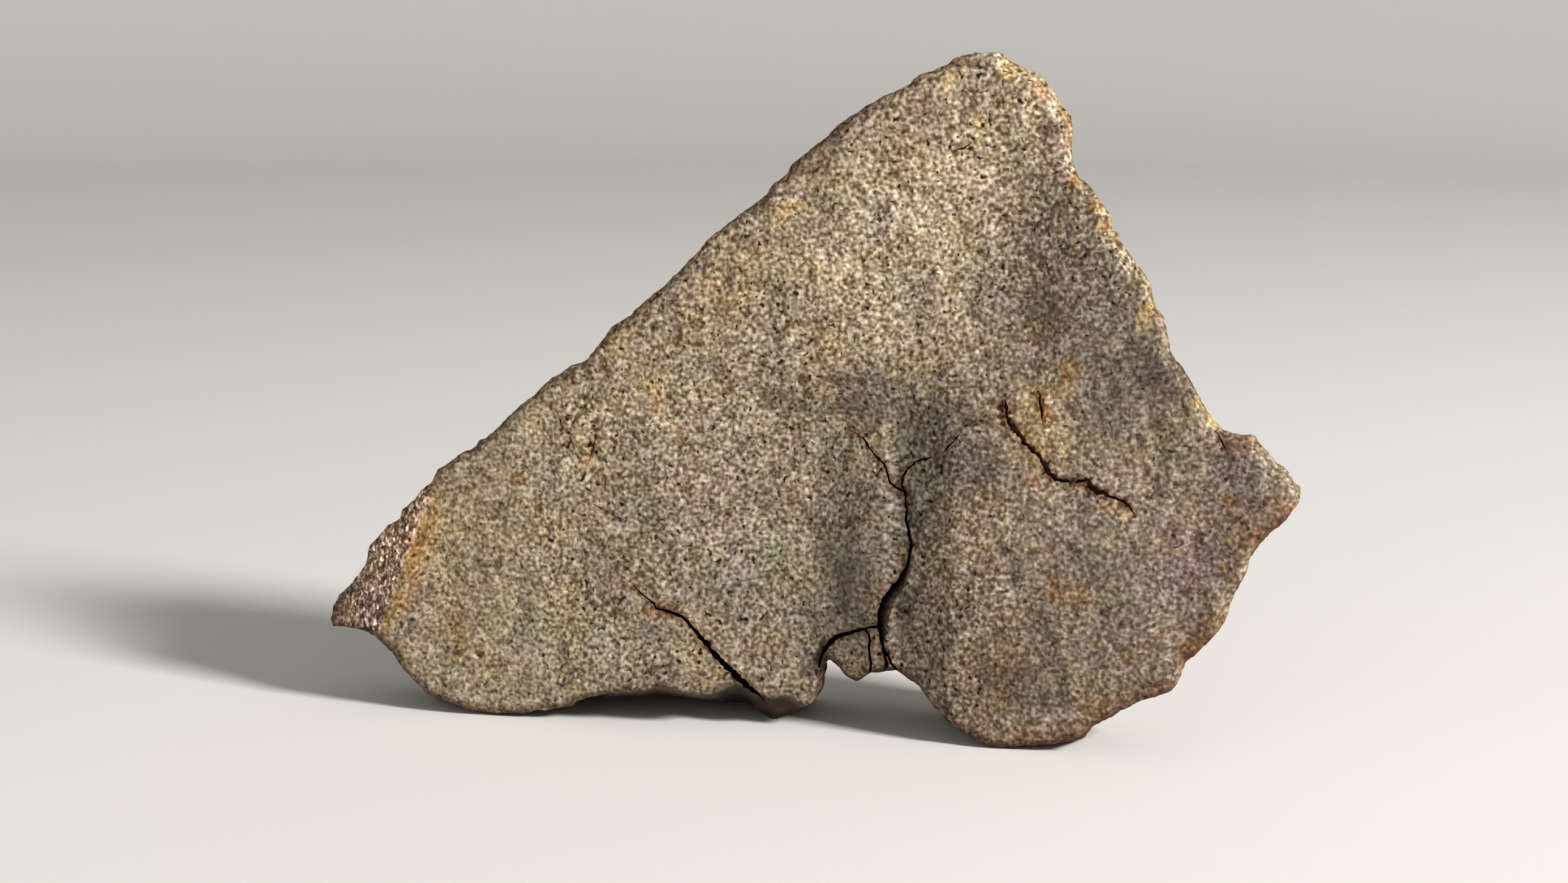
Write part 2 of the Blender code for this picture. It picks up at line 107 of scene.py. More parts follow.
EDGE = [
    (544, 1015), (548, 995), (560, 977), (580, 955), (600, 931), (604, 918), (606, 899), (620, 884), (638, 863), (659, 851), (661, 837),
    (680, 823), (688, 812), (700, 799), (710, 792), (714, 785), (720, 771), (740, 760), (760, 744), (780, 737), (788, 724), (800, 720),
    (820, 701), (834, 687), (860, 663), (880, 648), (896, 631), (904, 623), (920, 615), (939, 602), (957, 598), (966, 588), (980, 572),
    (995, 553), (1006, 537), (1020, 528), (1036, 519), (1046, 507), (1060, 496), (1075, 481), (1091, 472), (1099, 462), (1106, 454),
    (1119, 444), (1130, 431), (1140, 421), (1153, 408), (1160, 398), (1170, 388), (1186, 376), (1199, 366), (1211, 357), (1224, 347),
    (1240, 334), (1253, 326), (1263, 316), (1270, 303), (1281, 297), (1294, 284), (1301, 271), (1311, 262), (1324, 253), (1340, 240),
    (1355, 227), (1370, 213), (1386, 200), (1399, 190), (1413, 183), (1423, 173), (1440, 165), (1451, 159), (1467, 152), (1482, 145),
    (1497, 138), (1503, 129), (1510, 123), (1526, 118), (1541, 113), (1559, 106), (1569, 96), (1585, 91), (1603, 86), (1618, 87),
    (1631, 86), (1644, 87), (1654, 96), (1669, 106), (1682, 113), (1700, 119), (1713, 130), (1723, 142), (1736, 157), (1741, 170),
    (1751, 182), (1759, 193), (1762, 209), (1762, 224), (1760, 242), (1761, 260), (1767, 278), (1772, 291), (1782, 297), (1792, 306),
    (1799, 318), (1808, 331), (1818, 345), (1826, 357), (1826, 380), (1836, 381), (1841, 395), (1851, 411), (1861, 424), (1872, 439),
    (1881, 450), (1888, 467), (1892, 485), (1899, 506), (1910, 518), (1915, 536), (1919, 557), (1923, 577), (1928, 588), (1941, 603),
    (1953, 621), (1962, 637), (1973, 659), (1984, 676), (1997, 694), (2005, 704), (2013, 708), (2026, 711), (2039, 715), (2054, 713),
    (2063, 718), (2069, 727), (2078, 739), (2091, 751), (2100, 762), (2111, 768), (2119, 779), (2126, 792), (2135, 799), (2136, 807),
    (2135, 820), (2130, 831), (2122, 840), (2113, 853), (2100, 865), (2087, 873), (2078, 884), (2067, 896), (2058, 910), (2052, 921),
    (2047, 936), (2043, 949), (2037, 958), (2028, 974), (2023, 990), (2017, 1008), (2008, 1026), (2000, 1037), (1988, 1050), (1974, 1064),
    (1961, 1077), (1947, 1086), (1942, 1097), (1938, 1113), (1933, 1124), (1920, 1136), (1905, 1142), (1885, 1147), (1871, 1151),
    (1858, 1158), (1840, 1167), (1826, 1176), (1811, 1183), (1797, 1191), (1788, 1200), (1781, 1210), (1768, 1216), (1753, 1217),
    (1738, 1220), (1720, 1223), (1702, 1224), (1681, 1225), (1660, 1226), (1640, 1226), (1620, 1223), (1607, 1218), (1594, 1208),
    (1581, 1200), (1566, 1190), (1556, 1180), (1545, 1167), (1533, 1159), (1520, 1144), (1515, 1133), (1507, 1123), (1492, 1114),
    (1481, 1105), (1472, 1100), (1455, 1102), (1445, 1104), (1432, 1104), (1426, 1107), (1418, 1114), (1408, 1119), (1397, 1117),
    (1389, 1110), (1382, 1103), (1379, 1095), (1371, 1089), (1365, 1083), (1361, 1083), (1358, 1087), (1358, 1101), (1356, 1111),
    (1353, 1126), (1348, 1137), (1340, 1146), (1332, 1156), (1324, 1160), (1313, 1163), (1309, 1168), (1303, 1171), (1291, 1174),
    (1280, 1179), (1270, 1181), (1263, 1177), (1259, 1171), (1248, 1169), (1241, 1162), (1239, 1155), (1223, 1152), (1180, 1151),
    (1140, 1147), (1100, 1143), (1048, 1139), (1020, 1139), (1000, 1139), (978, 1143), (960, 1147), (949, 1152), (940, 1159), (922, 1160),
    (900, 1166), (880, 1167), (860, 1172), (840, 1171), (816, 1172), (800, 1168), (780, 1168), (760, 1161), (738, 1154), (720, 1145),
    (703, 1139), (682, 1118), (668, 1102), (655, 1087), (647, 1073), (633, 1060), (620, 1046), (606, 1037), (590, 1033), (574, 1028),
    (560, 1028), (546, 1028),
]

FACETS = [
    ("left_break", (706, 807, -2.5), (622, 1040, -2.5), (573, 960, 1.2), (560, 900, -2.6)),
    ("upper_left_back", (700, 771, 0.6), (1270, 289, 0.2), (1100, 640, 6.4), (900, 400, 5.0)),
    ("upper_edge_back", (1225, 324, 0.4), (1590, 66, 0.2), (1560, 330, 5.4), (1300, 100, 5.0)),
    ("peak_back", (1620, 50, 0.4), (1800, 209, 0.4), (1590, 330, 5.0), (1830, 60, 4.0)),
    ("right_upper_back", (1775, 209, -0.2), (1930, 515, 0.0), (1690, 480, 5.4), (2000, 300, 4.0)),
    ("right_middle_back", (1930, 500, 1.3), (2160, 770, 0.3), (1790, 790, 6.0), (2150, 500, 4.0)),
    ("horn_back", (2010, 685, 1.8), (2160, 790, 0.6), (1880, 900, 5.2), (2200, 600, 4.0)),
    ("right_lower_back", (2155, 825, 0.2), (1960, 1105, 0.4), (1840, 880, 5.6), (2180, 1100, 4.0)),
    ("right_lobe_back", (1960, 1100, 0.8), (1760, 1232, 2.6), (1700, 1040, 7.2), (1900, 1300, 5.0)),
    ("left_tip_back", (544, 1005, 1.7), (640, 845, 1.7), (800, 960, 5.2), (560, 900, 8.0)),
    ("left_lobe_back", (550, 1035, 1.8), (690, 1145, 2.2), (900, 960, 6.8), (600, 1200, 6.0)),
    ("back_left", (700, 1000, 4.6), (1150, 500, 4.8), (1300, 1000, 6.8), (900, 800, 9.0)),
    ("back_right", (1500, 300, 4.7), (1300, 1000, 6.8), (1950, 850, 4.6), (1700, 700, 9.0)),
    ("back_foot", (900, 1150, 5.6), (1600, 1150, 5.2), (1250, 800, 7.2), (1250, 1200, 9.0)),
]
BASE_FACETS = [
    ("left_base_back", (-17.0, 0.8), (-2.0, 5.4), 27.0),
    ("right_base_back", (2.0, 5.8), (16.0, 1.4), 29.0),
]
UNDERCUT = [
    ((1034, 1137), (1036, 1139, 3.4)), ((1059, 1132), (1058, 1140, 3.6)), ((1083, 1127), (1080, 1141, 3.7)),
    ((1118, 1133), (1112, 1144, 3.7)), ((1150, 1139), (1142, 1147, 3.7)), ((1180, 1138), (1172, 1150, 3.7)),
    ((1200, 1130), (1195, 1151, 3.6)), ((1221, 1123), (1217, 1152, 3.5)), ((1236, 1142), (1236, 1158, 2.6)),
    ((1250, 1142), (1248, 1169, 1.0)), ((1262, 1149), (1262, 1177, 0.8)), ((1281, 1139), (1281, 1178, 0.8)),
    ((1303, 1147), (1303, 1171, 0.8)), ((1318, 1158), (1318, 1163, 0.8)),
]
ARCH = [(1352, 1120), (1354, 1098), (1366, 1082), (1382, 1090), (1410, 1100), (1445, 1098), (1474, 1096), (1500, 1112), (1528, 1140), (1552, 1172)]
ARCH_Y, ARCH_RISE, ARCH_SPARE = (0.2, 9.0), 95.0, 12.0

# Cracks: (name, depth in mm, sideways shift at that depth in mm, raggedness, stations (u, v, width in drawing units)).
CRACKS = [
    (
        "crack_main", 4.5, -0.55, 1.0,
        [(1485, 803, 2.5), (1487, 810, 3), (1490, 832, 3.5), (1489, 853, 4.5), (1493, 874, 5), (1498, 891, 6), (1495, 912, 6), (1491, 930, 7), (1481, 951, 8.5), (1466, 968, 8.5), (1453, 986, 8.5), (1446, 1003, 8), (1445, 1025, 7.5), (1449, 1048, 6.5), (1453, 1070, 6), (1455, 1090, 6), (1456, 1112, 7)],
    ),
    (
        "crack_upper_left", 1.6, 0.0, 1.3,
        [(1396, 706, 1.0), (1408, 712, 1.6), (1419, 721, 2.6), (1428, 733, 3), (1439, 751, 3), (1453, 763, 3), (1460, 782, 3), (1463, 794, 3), (1473, 802, 3.4), (1489, 808, 3.4)],
    ),
    (
        "crack_upper_right", 1.5, 0.0, 1.3,
        [(1531, 750, 1.0), (1519, 754, 2.6), (1505, 758, 3), (1491, 770, 3), (1482, 784, 3), (1482, 796, 3.2), (1488, 812, 3.2)],
    ),
    ("crack_dash", 1.0, 0.0, 1.3, [(1550, 744, 1.2), (1556, 737, 2.6), (1565, 727, 3), (1574, 716, 2.2), (1578, 708, 1.0)]),
    (
        "crack_level", 2.2, 0.1, 1.0,
        [(1449, 1028, 4), (1438, 1029, 4.5), (1430, 1030, 4.5), (1418, 1033, 5), (1406, 1036, 6), (1395, 1039, 6), (1385, 1042, 6.5), (1372, 1048, 8), (1362, 1056, 9), (1355, 1065, 7), (1350, 1075, 5), (1347, 1085, 4.5), (1345, 1096, 3.4)],
    ),
    (
        "crack_chips", 1.6, 0.0, 1.1,
        [(1421, 1034, 2.5), (1426, 1041, 4), (1429, 1052, 4.5), (1427, 1062, 4), (1428, 1073, 4), (1431, 1084, 4), (1430, 1096, 4), (1429, 1112, 4)],
    ),
    ("crack_fork", 2.0, 0.2, 1.1, [(1454, 1070, 3), (1460, 1080, 4.5), (1467, 1092, 5), (1474, 1104, 5)]),
    (
        "crack_left", 4.0, 0.35, 1.1,
        [(1040, 961, 1.2), (1048, 969, 1.8), (1060, 980, 2.6), (1070, 988, 3), (1079, 999, 4), (1097, 1004, 4), (1116, 1011, 4.5), (1129, 1020, 5), (1140, 1034, 5.5), (1153, 1051, 6.5), (1164, 1063, 7.5), (1178, 1078, 9), (1188, 1089, 10.5), (1202, 1103, 11.5), (1214, 1115, 11), (1227, 1126, 9), (1240, 1136, 7.5), (1249, 1144, 5), (1256, 1150, 2.5)],
    ),
    (
        "crack_right", 0.42, 0.0, 1.5,
        [(1650, 656, 3), (1652, 668, 6), (1653, 683, 5), (1657, 694, 10), (1668, 704, 13), (1679, 716, 11), (1684, 727, 12), (1694, 739, 9), (1707, 748, 7), (1714, 760, 11), (1720, 774, 9), (1732, 784, 10), (1744, 788, 8), (1757, 792, 4)],
    ),
    (
        "crack_right_end", 0.36, 0.0, 1.5,
        [(1767, 793, 3), (1776, 789, 6), (1785, 788, 5), (1792, 799, 12), (1802, 808, 13), (1812, 808, 7), (1826, 817, 8), (1845, 822, 5), (1857, 834, 4), (1865, 845, 1.4)],
    ),
    ("crack_small", 0.5, 0.0, 1.8, [(1706, 641, 2.6), (1708, 650, 3.6), (1709, 662, 3.4), (1713, 680, 4), (1714, 692, 2.4), (1715, 700, 1.2)]),
    ("crack_left_face", 0.6, 0.0, 1.4, [(981, 704, 0.8), (980, 714, 1.5), (976, 733, 1.8), (971, 748, 1.3), (967, 757, 0.8)]),
    ("crack_left_dash", 0.4, 0.0, 1.4, [(974, 829, 0.7), (982, 832, 1.1), (993, 838, 1.3), (1006, 846, 1.1), (1017, 852, 1.2), (1030, 856, 0.7)]),
    ("crack_peak", 0.8, 0.0, 1.2, [(1565, 250, 1.0), (1574, 246, 1.9), (1587, 242, 1.9), (1597, 234, 1.0)]),
    ("crack_horn", 1.0, 0.0, 1.2, [(2002, 713, 2), (2007, 724, 3.4), (2012, 734, 2.4), (2015, 741, 1.2)]),
]
SPARE = 5.0  # how far the worn stone is drawn out past its outline, in drawing units, before the outline is cut sharp
# How far the right lip of a crack slopes in, in drawing units, by height in the drawing
LIPS = {"crack_main": ((930, 958, 975, 1010, 1040, 1056), (0, 9, 13, 14, 10, 0))}
RUST = {  # how far the rust spreads from a crack, in drawing units, and how strong it is
    "crack_right": (9.0, 0.6), "crack_right_end": (9.0, 0.6), "crack_small": (9.0, 0.6), "crack_left": (9.0, 0.6),
    "crack_main": (6.0, 0.38), "crack_upper_left": (7.0, 0.6), "crack_upper_right": (6.0, 0.5), "crack_level": (6.0, 0.5),
    "crack_chips": (3.0, 0.2), "crack_peak": (4.0, 0.15), "crack_fork": (4.0, 0.35), "crack_left_face": (5.0, 0.3), "crack_left_dash": (5.0, 0.3),
}
# The tones of the broad face, partly painted light and shade and partly the rock's own tone, found by comparing renders
# with the photo:
# (u, v, radius along, radius across, turn in degrees, red, green and blue factors on the rock's own colour)
TONES_AND_PAINTED_LIGHT = [
    # painted light: the sunlit ridge, and the flank below the long upper edge
    (1500, 340, 230, 120, 105, (1.26, 1.24, 1.22)), (1370, 430, 70, 70, 0, (1.32, 1.32, 1.30)), (1600, 270, 70, 100, 0, (1.25, 1.24, 1.24)),
    (1700, 220, 40, 55, 0, (1.58, 1.56, 1.50)), (1200, 470, 190, 60, -42, (1.04, 0.99, 0.90)), (1045, 680, 70, 50, 0, (1.40, 1.37, 1.28)),
    (930, 800, 60, 150, 0, (1.30, 1.28, 1.24)), (705, 960, 55, 160, 0, (1.20, 1.18, 1.14)),
    # painted shade in two duller places below the peak
    (1512, 185, 34, 34, 0, (0.84, 0.82, 0.86)), (1370, 230, 60, 40, -40, (0.64, 0.62, 0.59)),
    # painted shade in the hollows above and on both sides of the main crack, over a darker tone of their own
    (1482, 625, 120, 62, 0, (0.75, 0.74, 0.73)), (1404, 800, 80, 112, 0, (0.76, 0.76, 0.78)), (1388, 975, 58, 112, 0, (0.44, 0.46, 0.50)),
    (1485, 850, 45, 160, 0, (0.76, 0.76, 0.80)), (1465, 1030, 50, 90, 0, (0.66, 0.65, 0.66)), (1586, 752, 66, 96, 0, (0.55, 0.55, 0.58)),
    # the slow shade of the left half and its lower lobe
    (1220, 775, 120, 90, 0, (0.76, 0.76, 0.77)), (1190, 955, 112, 65, 0, (0.62, 0.63, 0.64)), (1262, 1082, 118, 80, 0, (0.66, 0.66, 0.68)),
    (1045, 880, 60, 60, 0, (0.80, 0.80, 0.81)), (1110, 1122, 110, 24, 0, (0.76, 0.76, 0.76)), (925, 1050, 60, 50, 0, (1.06, 1.06, 1.05)),
    (720, 1045, 50, 40, 0, (0.84, 0.83, 0.82)), (775, 1115, 90, 45, 0, (0.97, 1.01, 1.0)), (780, 860, 80, 90, 0, (1.04, 1.0, 0.92)),
    # the right block: lighter above and below its crack as painted light, darker towards the horn and the lower rim as
    # painted shade
    (1690, 520, 45, 50, 0, (0.84, 0.84, 0.88)), (1705, 690, 60, 62, 0, (1.84, 1.72, 1.46)), (1800, 775, 60, 50, 0, (1.25, 1.25, 1.24)),
    (1708, 860, 45, 45, 0, (1.24, 1.24, 1.22)), (1600, 930, 60, 125, 0, (1.30, 1.26, 1.20)), (1660, 1130, 110, 60, 0, (0.78, 0.76, 0.74)),
    (1810, 590, 60, 60, 0, (0.76, 0.76, 0.76)), (1930, 640, 90, 130, 60, (0.80, 0.79, 0.80)), (1908, 605, 55, 65, 60, (0.52, 0.51, 0.51)),
    (1810, 680, 40, 50, 0, (0.80, 0.80, 0.80)), (1820, 930, 75, 85, 0, (0.74, 0.73, 0.73)), (1930, 900, 80, 110, 0, (0.98, 0.96, 1.04)),
    (1840, 1040, 140, 100, 0, (0.88, 0.86, 0.86)),
]
# Stains with uneven edges, in the same form; a few of them are painted light and shade, as marked below
STAINS_AND_PAINTED_LIGHT = [
    (755, 1030, 20, 44, 0, (0.92, 0.80, 0.64)),
    # (1317, 1098): painted shade on the strip beside the foot
    (1080, 640, 34, 26, 0, (1.10, 1.03, 0.84)), (1317, 1098, 17, 50, 0, (0.78, 0.76, 0.86)), (1290, 350, 40, 22, -30, (1.14, 1.03, 0.78)),
    (1604, 204, 13, 25, 0, (1.28, 1.12, 0.70)), (1760, 603, 22, 18, 0, (1.20, 0.98, 0.62)),
    # (1702, 781) and (1826, 832): painted light on the lower lip of the right crack, which faces the lamp, over pinkish
    # grains
    (1717, 684, 9, 20, 0, (1.30, 1.04, 0.62)), (1752, 640, 20, 22, 0, (1.16, 1.05, 0.80)), (1702, 781, 17, 10, 40, (1.34, 1.08, 0.95)), (1826, 832, 26, 9, 25, (1.32, 1.13, 0.88)),
    # (1815, 802): painted light on the same lip; (1976, 670): a painted highlight along the rim above the horn, which
    # faces the lamp
    (1815, 802, 14, 5, 15, (1.15, 1.12, 1.05)), (1976, 670, 44, 12, 50, (1.50, 1.32, 0.80)), (1882, 522, 18, 24, 0, (1.45, 1.30, 0.84)),
    (1760, 975, 34, 28, 0, (1.12, 0.86, 0.58)), (1265, 905, 34, 30, 0, (0.88, 0.98, 0.94)),
    (1950, 925, 50, 70, 0, (0.92, 0.84, 0.98)), (1095, 997, 44, 18, 15, (0.92, 0.70, 0.50)),
    (1640, 1100, 60, 60, 0, (0.92, 0.82, 0.70)), (1895, 1120, 20, 14, 0, (0.62, 0.52, 0.46)),
    (1762, 296, 12, 12, 0, (1.08, 0.84, 0.60)), (1796, 336, 12, 12, 0, (1.08, 0.84, 0.60)), (1815, 366, 12, 9, 0, (1.14, 0.92, 0.62)),
    (1826, 388, 10, 12, 0, (1.0, 1.06, 0.80)), (2008, 935, 8, 9, 0, (1.28, 1.04, 0.64)), (2015, 895, 8, 9, 0, (1.28, 1.04, 0.64)),
    (2064, 882, 14, 12, 0, (1.10, 0.80, 0.58)), (2040, 728, 26, 14, 0, (0.92, 0.74, 0.64)), (2035, 800, 38, 60, 0, (0.92, 0.86, 0.98)),
    (1965, 1068, 26, 16, -40, (0.98, 0.76, 0.58)), (1462, 1082, 9, 16, -30, (0.72, 0.56, 0.48)),
    (1473, 1016, 7, 11, 0, (1.25, 0.98, 0.70)), (1495, 1000, 30, 26, 0, (0.80, 0.84, 0.94)),
    # (1352, 1096): painted shadow on the left wall of the arch; (1208, 1140): painted shade on the underside strip
    # below the left lobe
    (1352, 1096, 10, 52, 0, (0.36, 0.26, 0.21)), (1208, 1140, 30, 11, 20, (0.42, 0.44, 0.49)),
    (1395, 1080, 22, 30, 0, (1.12, 1.12, 1.02)), (1441, 1068, 9, 34, 0, (1.02, 0.93, 0.86)),
    (1588, 98, 22, 8, 0, (0.70, 0.50, 0.38)), (1565, 120, 18, 12, -30, (1.25, 1.15, 0.92)),
    (1648, 115, 26, 11, 20, (1.28, 1.10, 0.80)), (1712, 155, 14, 14, 0, (1.05, 0.74, 0.58)),
    (1730, 215, 12, 16, 0, (0.74, 0.66, 0.74)), (1680, 243, 18, 10, 0, (0.66, 0.66, 0.68)),
    (600, 1036, 16, 7, 10, (0.40, 0.34, 0.32)), (596, 1008, 30, 16, -60, (0.82, 0.80, 0.86)),
    (1480, 925, 9, 24, 0, (1.18, 0.98, 0.84)), (1020, 560, 40, 16, -40, (1.10, 1.0, 0.80)),
    # (1436, 990): a painted highlight on the left lip of the main crack, which faces the lamp
    (1436, 990, 9, 34, 10, (1.35, 1.30, 1.18)), (860, 1000, 50, 40, 0, (0.96, 1.0, 0.92)),
    (1350, 560, 60, 30, 20, (1.08, 1.02, 0.88)), (1160, 780, 50, 40, 0, (1.02, 0.98, 1.04)),
]
PITS = [
    (1314, 625, 7, 0.35), (813, 928, 6, 0.3), (785, 1075, 6, 0.3), (1788, 316, 6, 0.3), (1251, 838, 7, 0.22),
    (1452, 347, 5, 0.25), (1455, 405, 5, 0.25), (1607, 413, 5, 0.25), (1411, 630, 6, 0.25), (1577, 193, 7, 0.2),
    (1190, 565, 5, 0.22), (905, 760, 5, 0.2), (1130, 905, 5, 0.22), (1640, 905, 6, 0.2), (1868, 720, 6, 0.2),
]


def view_axes():
    ahead = Vector((-math.sin(VIEW_AZ) * math.cos(VIEW_EL), math.cos(VIEW_AZ) * math.cos(VIEW_EL), -math.sin(VIEW_EL)))
    right = Vector((math.cos(VIEW_AZ), math.sin(VIEW_AZ), 0.0))
    return ahead, right, right.cross(ahead)


AHEAD, RIGHT, UP = (np.array(v) for v in view_axes())


def sight(u, v):
    du = (np.asarray(u, float) - CENTRE_UV[0]) / FOCAL
    dv = (np.asarray(v, float) - CENTRE_UV[1]) / FOCAL
    return AHEAD + du[..., None] * RIGHT - dv[..., None] * UP


EYE = np.array(AIM) - sight(*AIM_UV) * UNIT * FOCAL


def place(u, v, y):
    """The points at depth y, from the datum, on the lines of sight through the stations."""
    s = sight(u, v)
    return EYE + s * ((np.asarray(y, float) + DATUM[1] - EYE[1]) / s[..., 1])[..., None]


def station(points):
    q = points - EYE
    depth = q @ AHEAD
    return CENTRE_UV[0] + FOCAL * (q @ RIGHT) / depth, CENTRE_UV[1] - FOCAL * (q @ UP) / depth


def ease(a, b, x):
    t = np.clip((x - a) / (b - a), 0.0, 1.0)
    return t * t * (3.0 - 2.0 * t)


def face_y(u, v):
    return FRONT_Y + LEAN_BACK * UNIT * (1200.0 - v)


def hill(u, v, u0, v0, ru, rv, turn=0.0):
    c, s = math.cos(math.radians(turn)), math.sin(math.radians(turn))
    a, b = (u - u0) * c + (v - v0) * s, (v - v0) * c - (u - u0) * s
    return np.exp(-((a / ru) ** 2) - (b / rv) ** 2)


def relief(u, v):
    """How far the broad face stands proud (towards -Y), in metres."""
    wander = 16.0 * np.sin(v / 61.0) + 9.0 * np.sin(v / 23.0 + 1.0)
    low = ease(588, 690, v + 0.35 * wander)
    x = u + wander
    depth = ease(1060, 1330, x) - 0.40 * ease(1345, 1450, x) + 0.08 * ease(1448, 1475, u) - 0.68 * ease(1470, 1575, u)
    out = -1.35 * depth * low
    crease_u = 1665.0 - 50.0 * ease(230, 560, v) + 0.4 * wander
    across = (u - crease_u) / 125.0
    out -= 0.72 * np.exp(-np.where(across < 0, (across / 2.0) ** 2, across**2)) * ease(150, 300, v) * (1 - ease(540, 680, v))
    out += 0.35 * hill(u, v, 1080, 700, 230, 200) + 0.3 * hill(u, v, 1440, 330, 150, 160)
    out += 0.45 * hill(u, v, 1740, 980, 140, 150) - 0.35 * hill(u, v, 1960, 900, 80, 170)
    out += 0.35 * hill(u, v, 1765, 640, 90, 60) - 0.4 * hill(u, v, 1690, 520, 40, 45)
    out -= 0.22 * hill(u, v, 890, 930, 80, 200) + 0.1 * hill(u, v, 985, 760, 45, 90)
    return out * MM


def along_line(u, v, line, closed=False):
    """For each station, its distance to a line of stations, how far along the line the nearest point is, and the way there, in drawing units."""
    line = np.array(line, float)[:, :2]
    a, b = (line, np.roll(line, -1, axis=0)) if closed else (line[:-1], line[1:])
    p = np.stack([u, v], axis=1)
    best, at, way, done = np.full(len(p), np.inf), np.zeros(len(p)), np.zeros((len(p), 2)), 0.0
    for start, along in zip(a, b - a):
        length = math.hypot(*along)
        t = np.clip(((p - start) @ along) / max(length**2, 1e-9), 0.0, 1.0)
        to = start + t[:, None] * along - p
        gap = np.hypot(to[:, 0], to[:, 1])
        near = gap < best
        best[near], at[near], way[near] = gap[near], done + t[near] * length, to[near]
        done += length
    return best, at, way


def line_distance(u, v, line, closed=False):
    return along_line(u, v, line, closed)[0]


def within(u, v, line):
    """True for the stations inside a closed line."""
    line = np.array(line, float)
    inside = np.zeros(len(u), bool)
    for (u0, v0), (u1, v1) in zip(line, np.roll(line, -1, axis=0)):
        if v0 != v1:
            inside ^= ((v0 > v) != (v1 > v)) & (u < u0 + (v - v0) * (u1 - u0) / (v1 - v0))
    return inside


# ---------------------------------------------------------------- building
def link(obj, collection):
    collection.objects.link(obj)
    return obj


def outward(bm):
    bmesh.ops.recalc_face_normals(bm, faces=bm.faces)
    if bm.calc_volume(signed=True) < 0:
        bmesh.ops.reverse_faces(bm, faces=bm.faces)


def as_mesh(obj, name):
    graph = bpy.context.evaluated_depsgraph_get()
    mesh = bpy.data.meshes.new_from_object(obj.evaluated_get(graph))
    mesh.name = name
    return mesh


def make_blank(collection):
    curve = bpy.data.curves.new("outline", "CURVE")
    curve.dimensions = "2D"
    curve.fill_mode = "BOTH"
    curve.extrude = 1.0 * MM
    spline = curve.splines.new("POLY")
    spline.points.add(len(OUTLINE) - 1)
    for point, (u, v) in zip(spline.points, OUTLINE):
        point.co = ((u - CENTRE_UV[0]) * UNIT, (CENTRE_UV[1] - v) * UNIT, 0.0, 1.0)
    spline.use_cyclic_u = True
    flat = link(bpy.data.objects.new("outline", curve), collection)
    mesh = as_mesh(flat, "blank")
    bpy.data.objects.remove(flat)
    bpy.data.curves.remove(curve)
    bm = bmesh.new()
    bm.from_mesh(mesh)
    bmesh.ops.remove_doubles(bm, verts=bm.verts, dist=1e-6)
    bmesh.ops.triangulate(bm, faces=bm.faces)
    for vert in bm.verts:
        u, v = vert.co.x / UNIT + CENTRE_UV[0], CENTRE_UV[1] - vert.co.y / UNIT
        vert.co = place(u, v, face_y(u, v) if vert.co.z > 0 else BACK_Y)
    outward(bm)
    bm.to_mesh(mesh)
    bm.free()
    return link(bpy.data.objects.new("blank", mesh), collection)


def make_block(name, middle, along, normal, away, collection):
    side = 90 * MM
    normal = normal.normalized()
    if normal.dot(away) < 0:
        normal.negate()
    bm = bmesh.new()
    bmesh.ops.create_cube(bm, size=side)
    mesh = bpy.data.meshes.new(name)
    bm.to_mesh(mesh)
    bm.free()
    obj = link(bpy.data.objects.new(name, mesh), collection)
    turn = Matrix((along, normal.cross(along), normal)).transposed().to_4x4()
    obj.matrix_world = Matrix.Translation(middle + normal * side / 2) @ turn
    return obj


def make_facet(name, a, b, c, away, collection):
    a, b, c, away = (Vector(place(u, v, y * MM)) for u, v, y in (a, b, c, away))
    along = (b - a).normalized()
    return make_block(name, (a + b + c) / 3, along, along.cross(c - a), away - a, collection)


def make_base_facet(name, a, b, rise, collection):
    a, b = (Vector((x * MM + DATUM[0], y * MM + DATUM[1], 0.0)) for x, y in (a, b))
    along = (b - a).normalized()
    back = Vector((-along.y, along.x, 0.0))
    slope = back * math.cos(math.radians(rise)) + Vector((0, 0, math.sin(math.radians(rise))))
    return make_block(name, (a + b) / 2, along, along.cross(slope), Vector((0, 0, -1)), collection)


def loft(name, sections, collection):
    bm = bmesh.new()
    rings = [[bm.verts.new(p) for p in section] for section in sections]
    count = len(rings[0])
    for one, two in zip(rings, rings[1:]):
        for i in range(count):
            j = (i + 1) % count
            bm.faces.new((one[i], one[j], two[j], two[i]))
    bm.faces.new(rings[0])
    bm.faces.new(rings[-1])
    bmesh.ops.triangulate(bm, faces=bm.faces)
    outward(bm)
    mesh = bpy.data.meshes.new(name)
    bm.to_mesh(mesh)
    bm.free()
    return link(bpy.data.objects.new(name, mesh), collection)


def make_arch(collection):
    edge = np.array(ARCH, float)
    sections = []
    for y, rise in zip(ARCH_Y, (0.0, ARCH_RISE)):
        y = np.full(len(edge), y * MM)
        top = place(edge[:, 0], edge[:, 1] - rise + ARCH_SPARE, y)
        drop = place(edge[::-1, 0], edge[::-1, 1] + 260.0, y)
        sections.append(np.concatenate([top, drop]))
    return loft("arch", sections, collection)


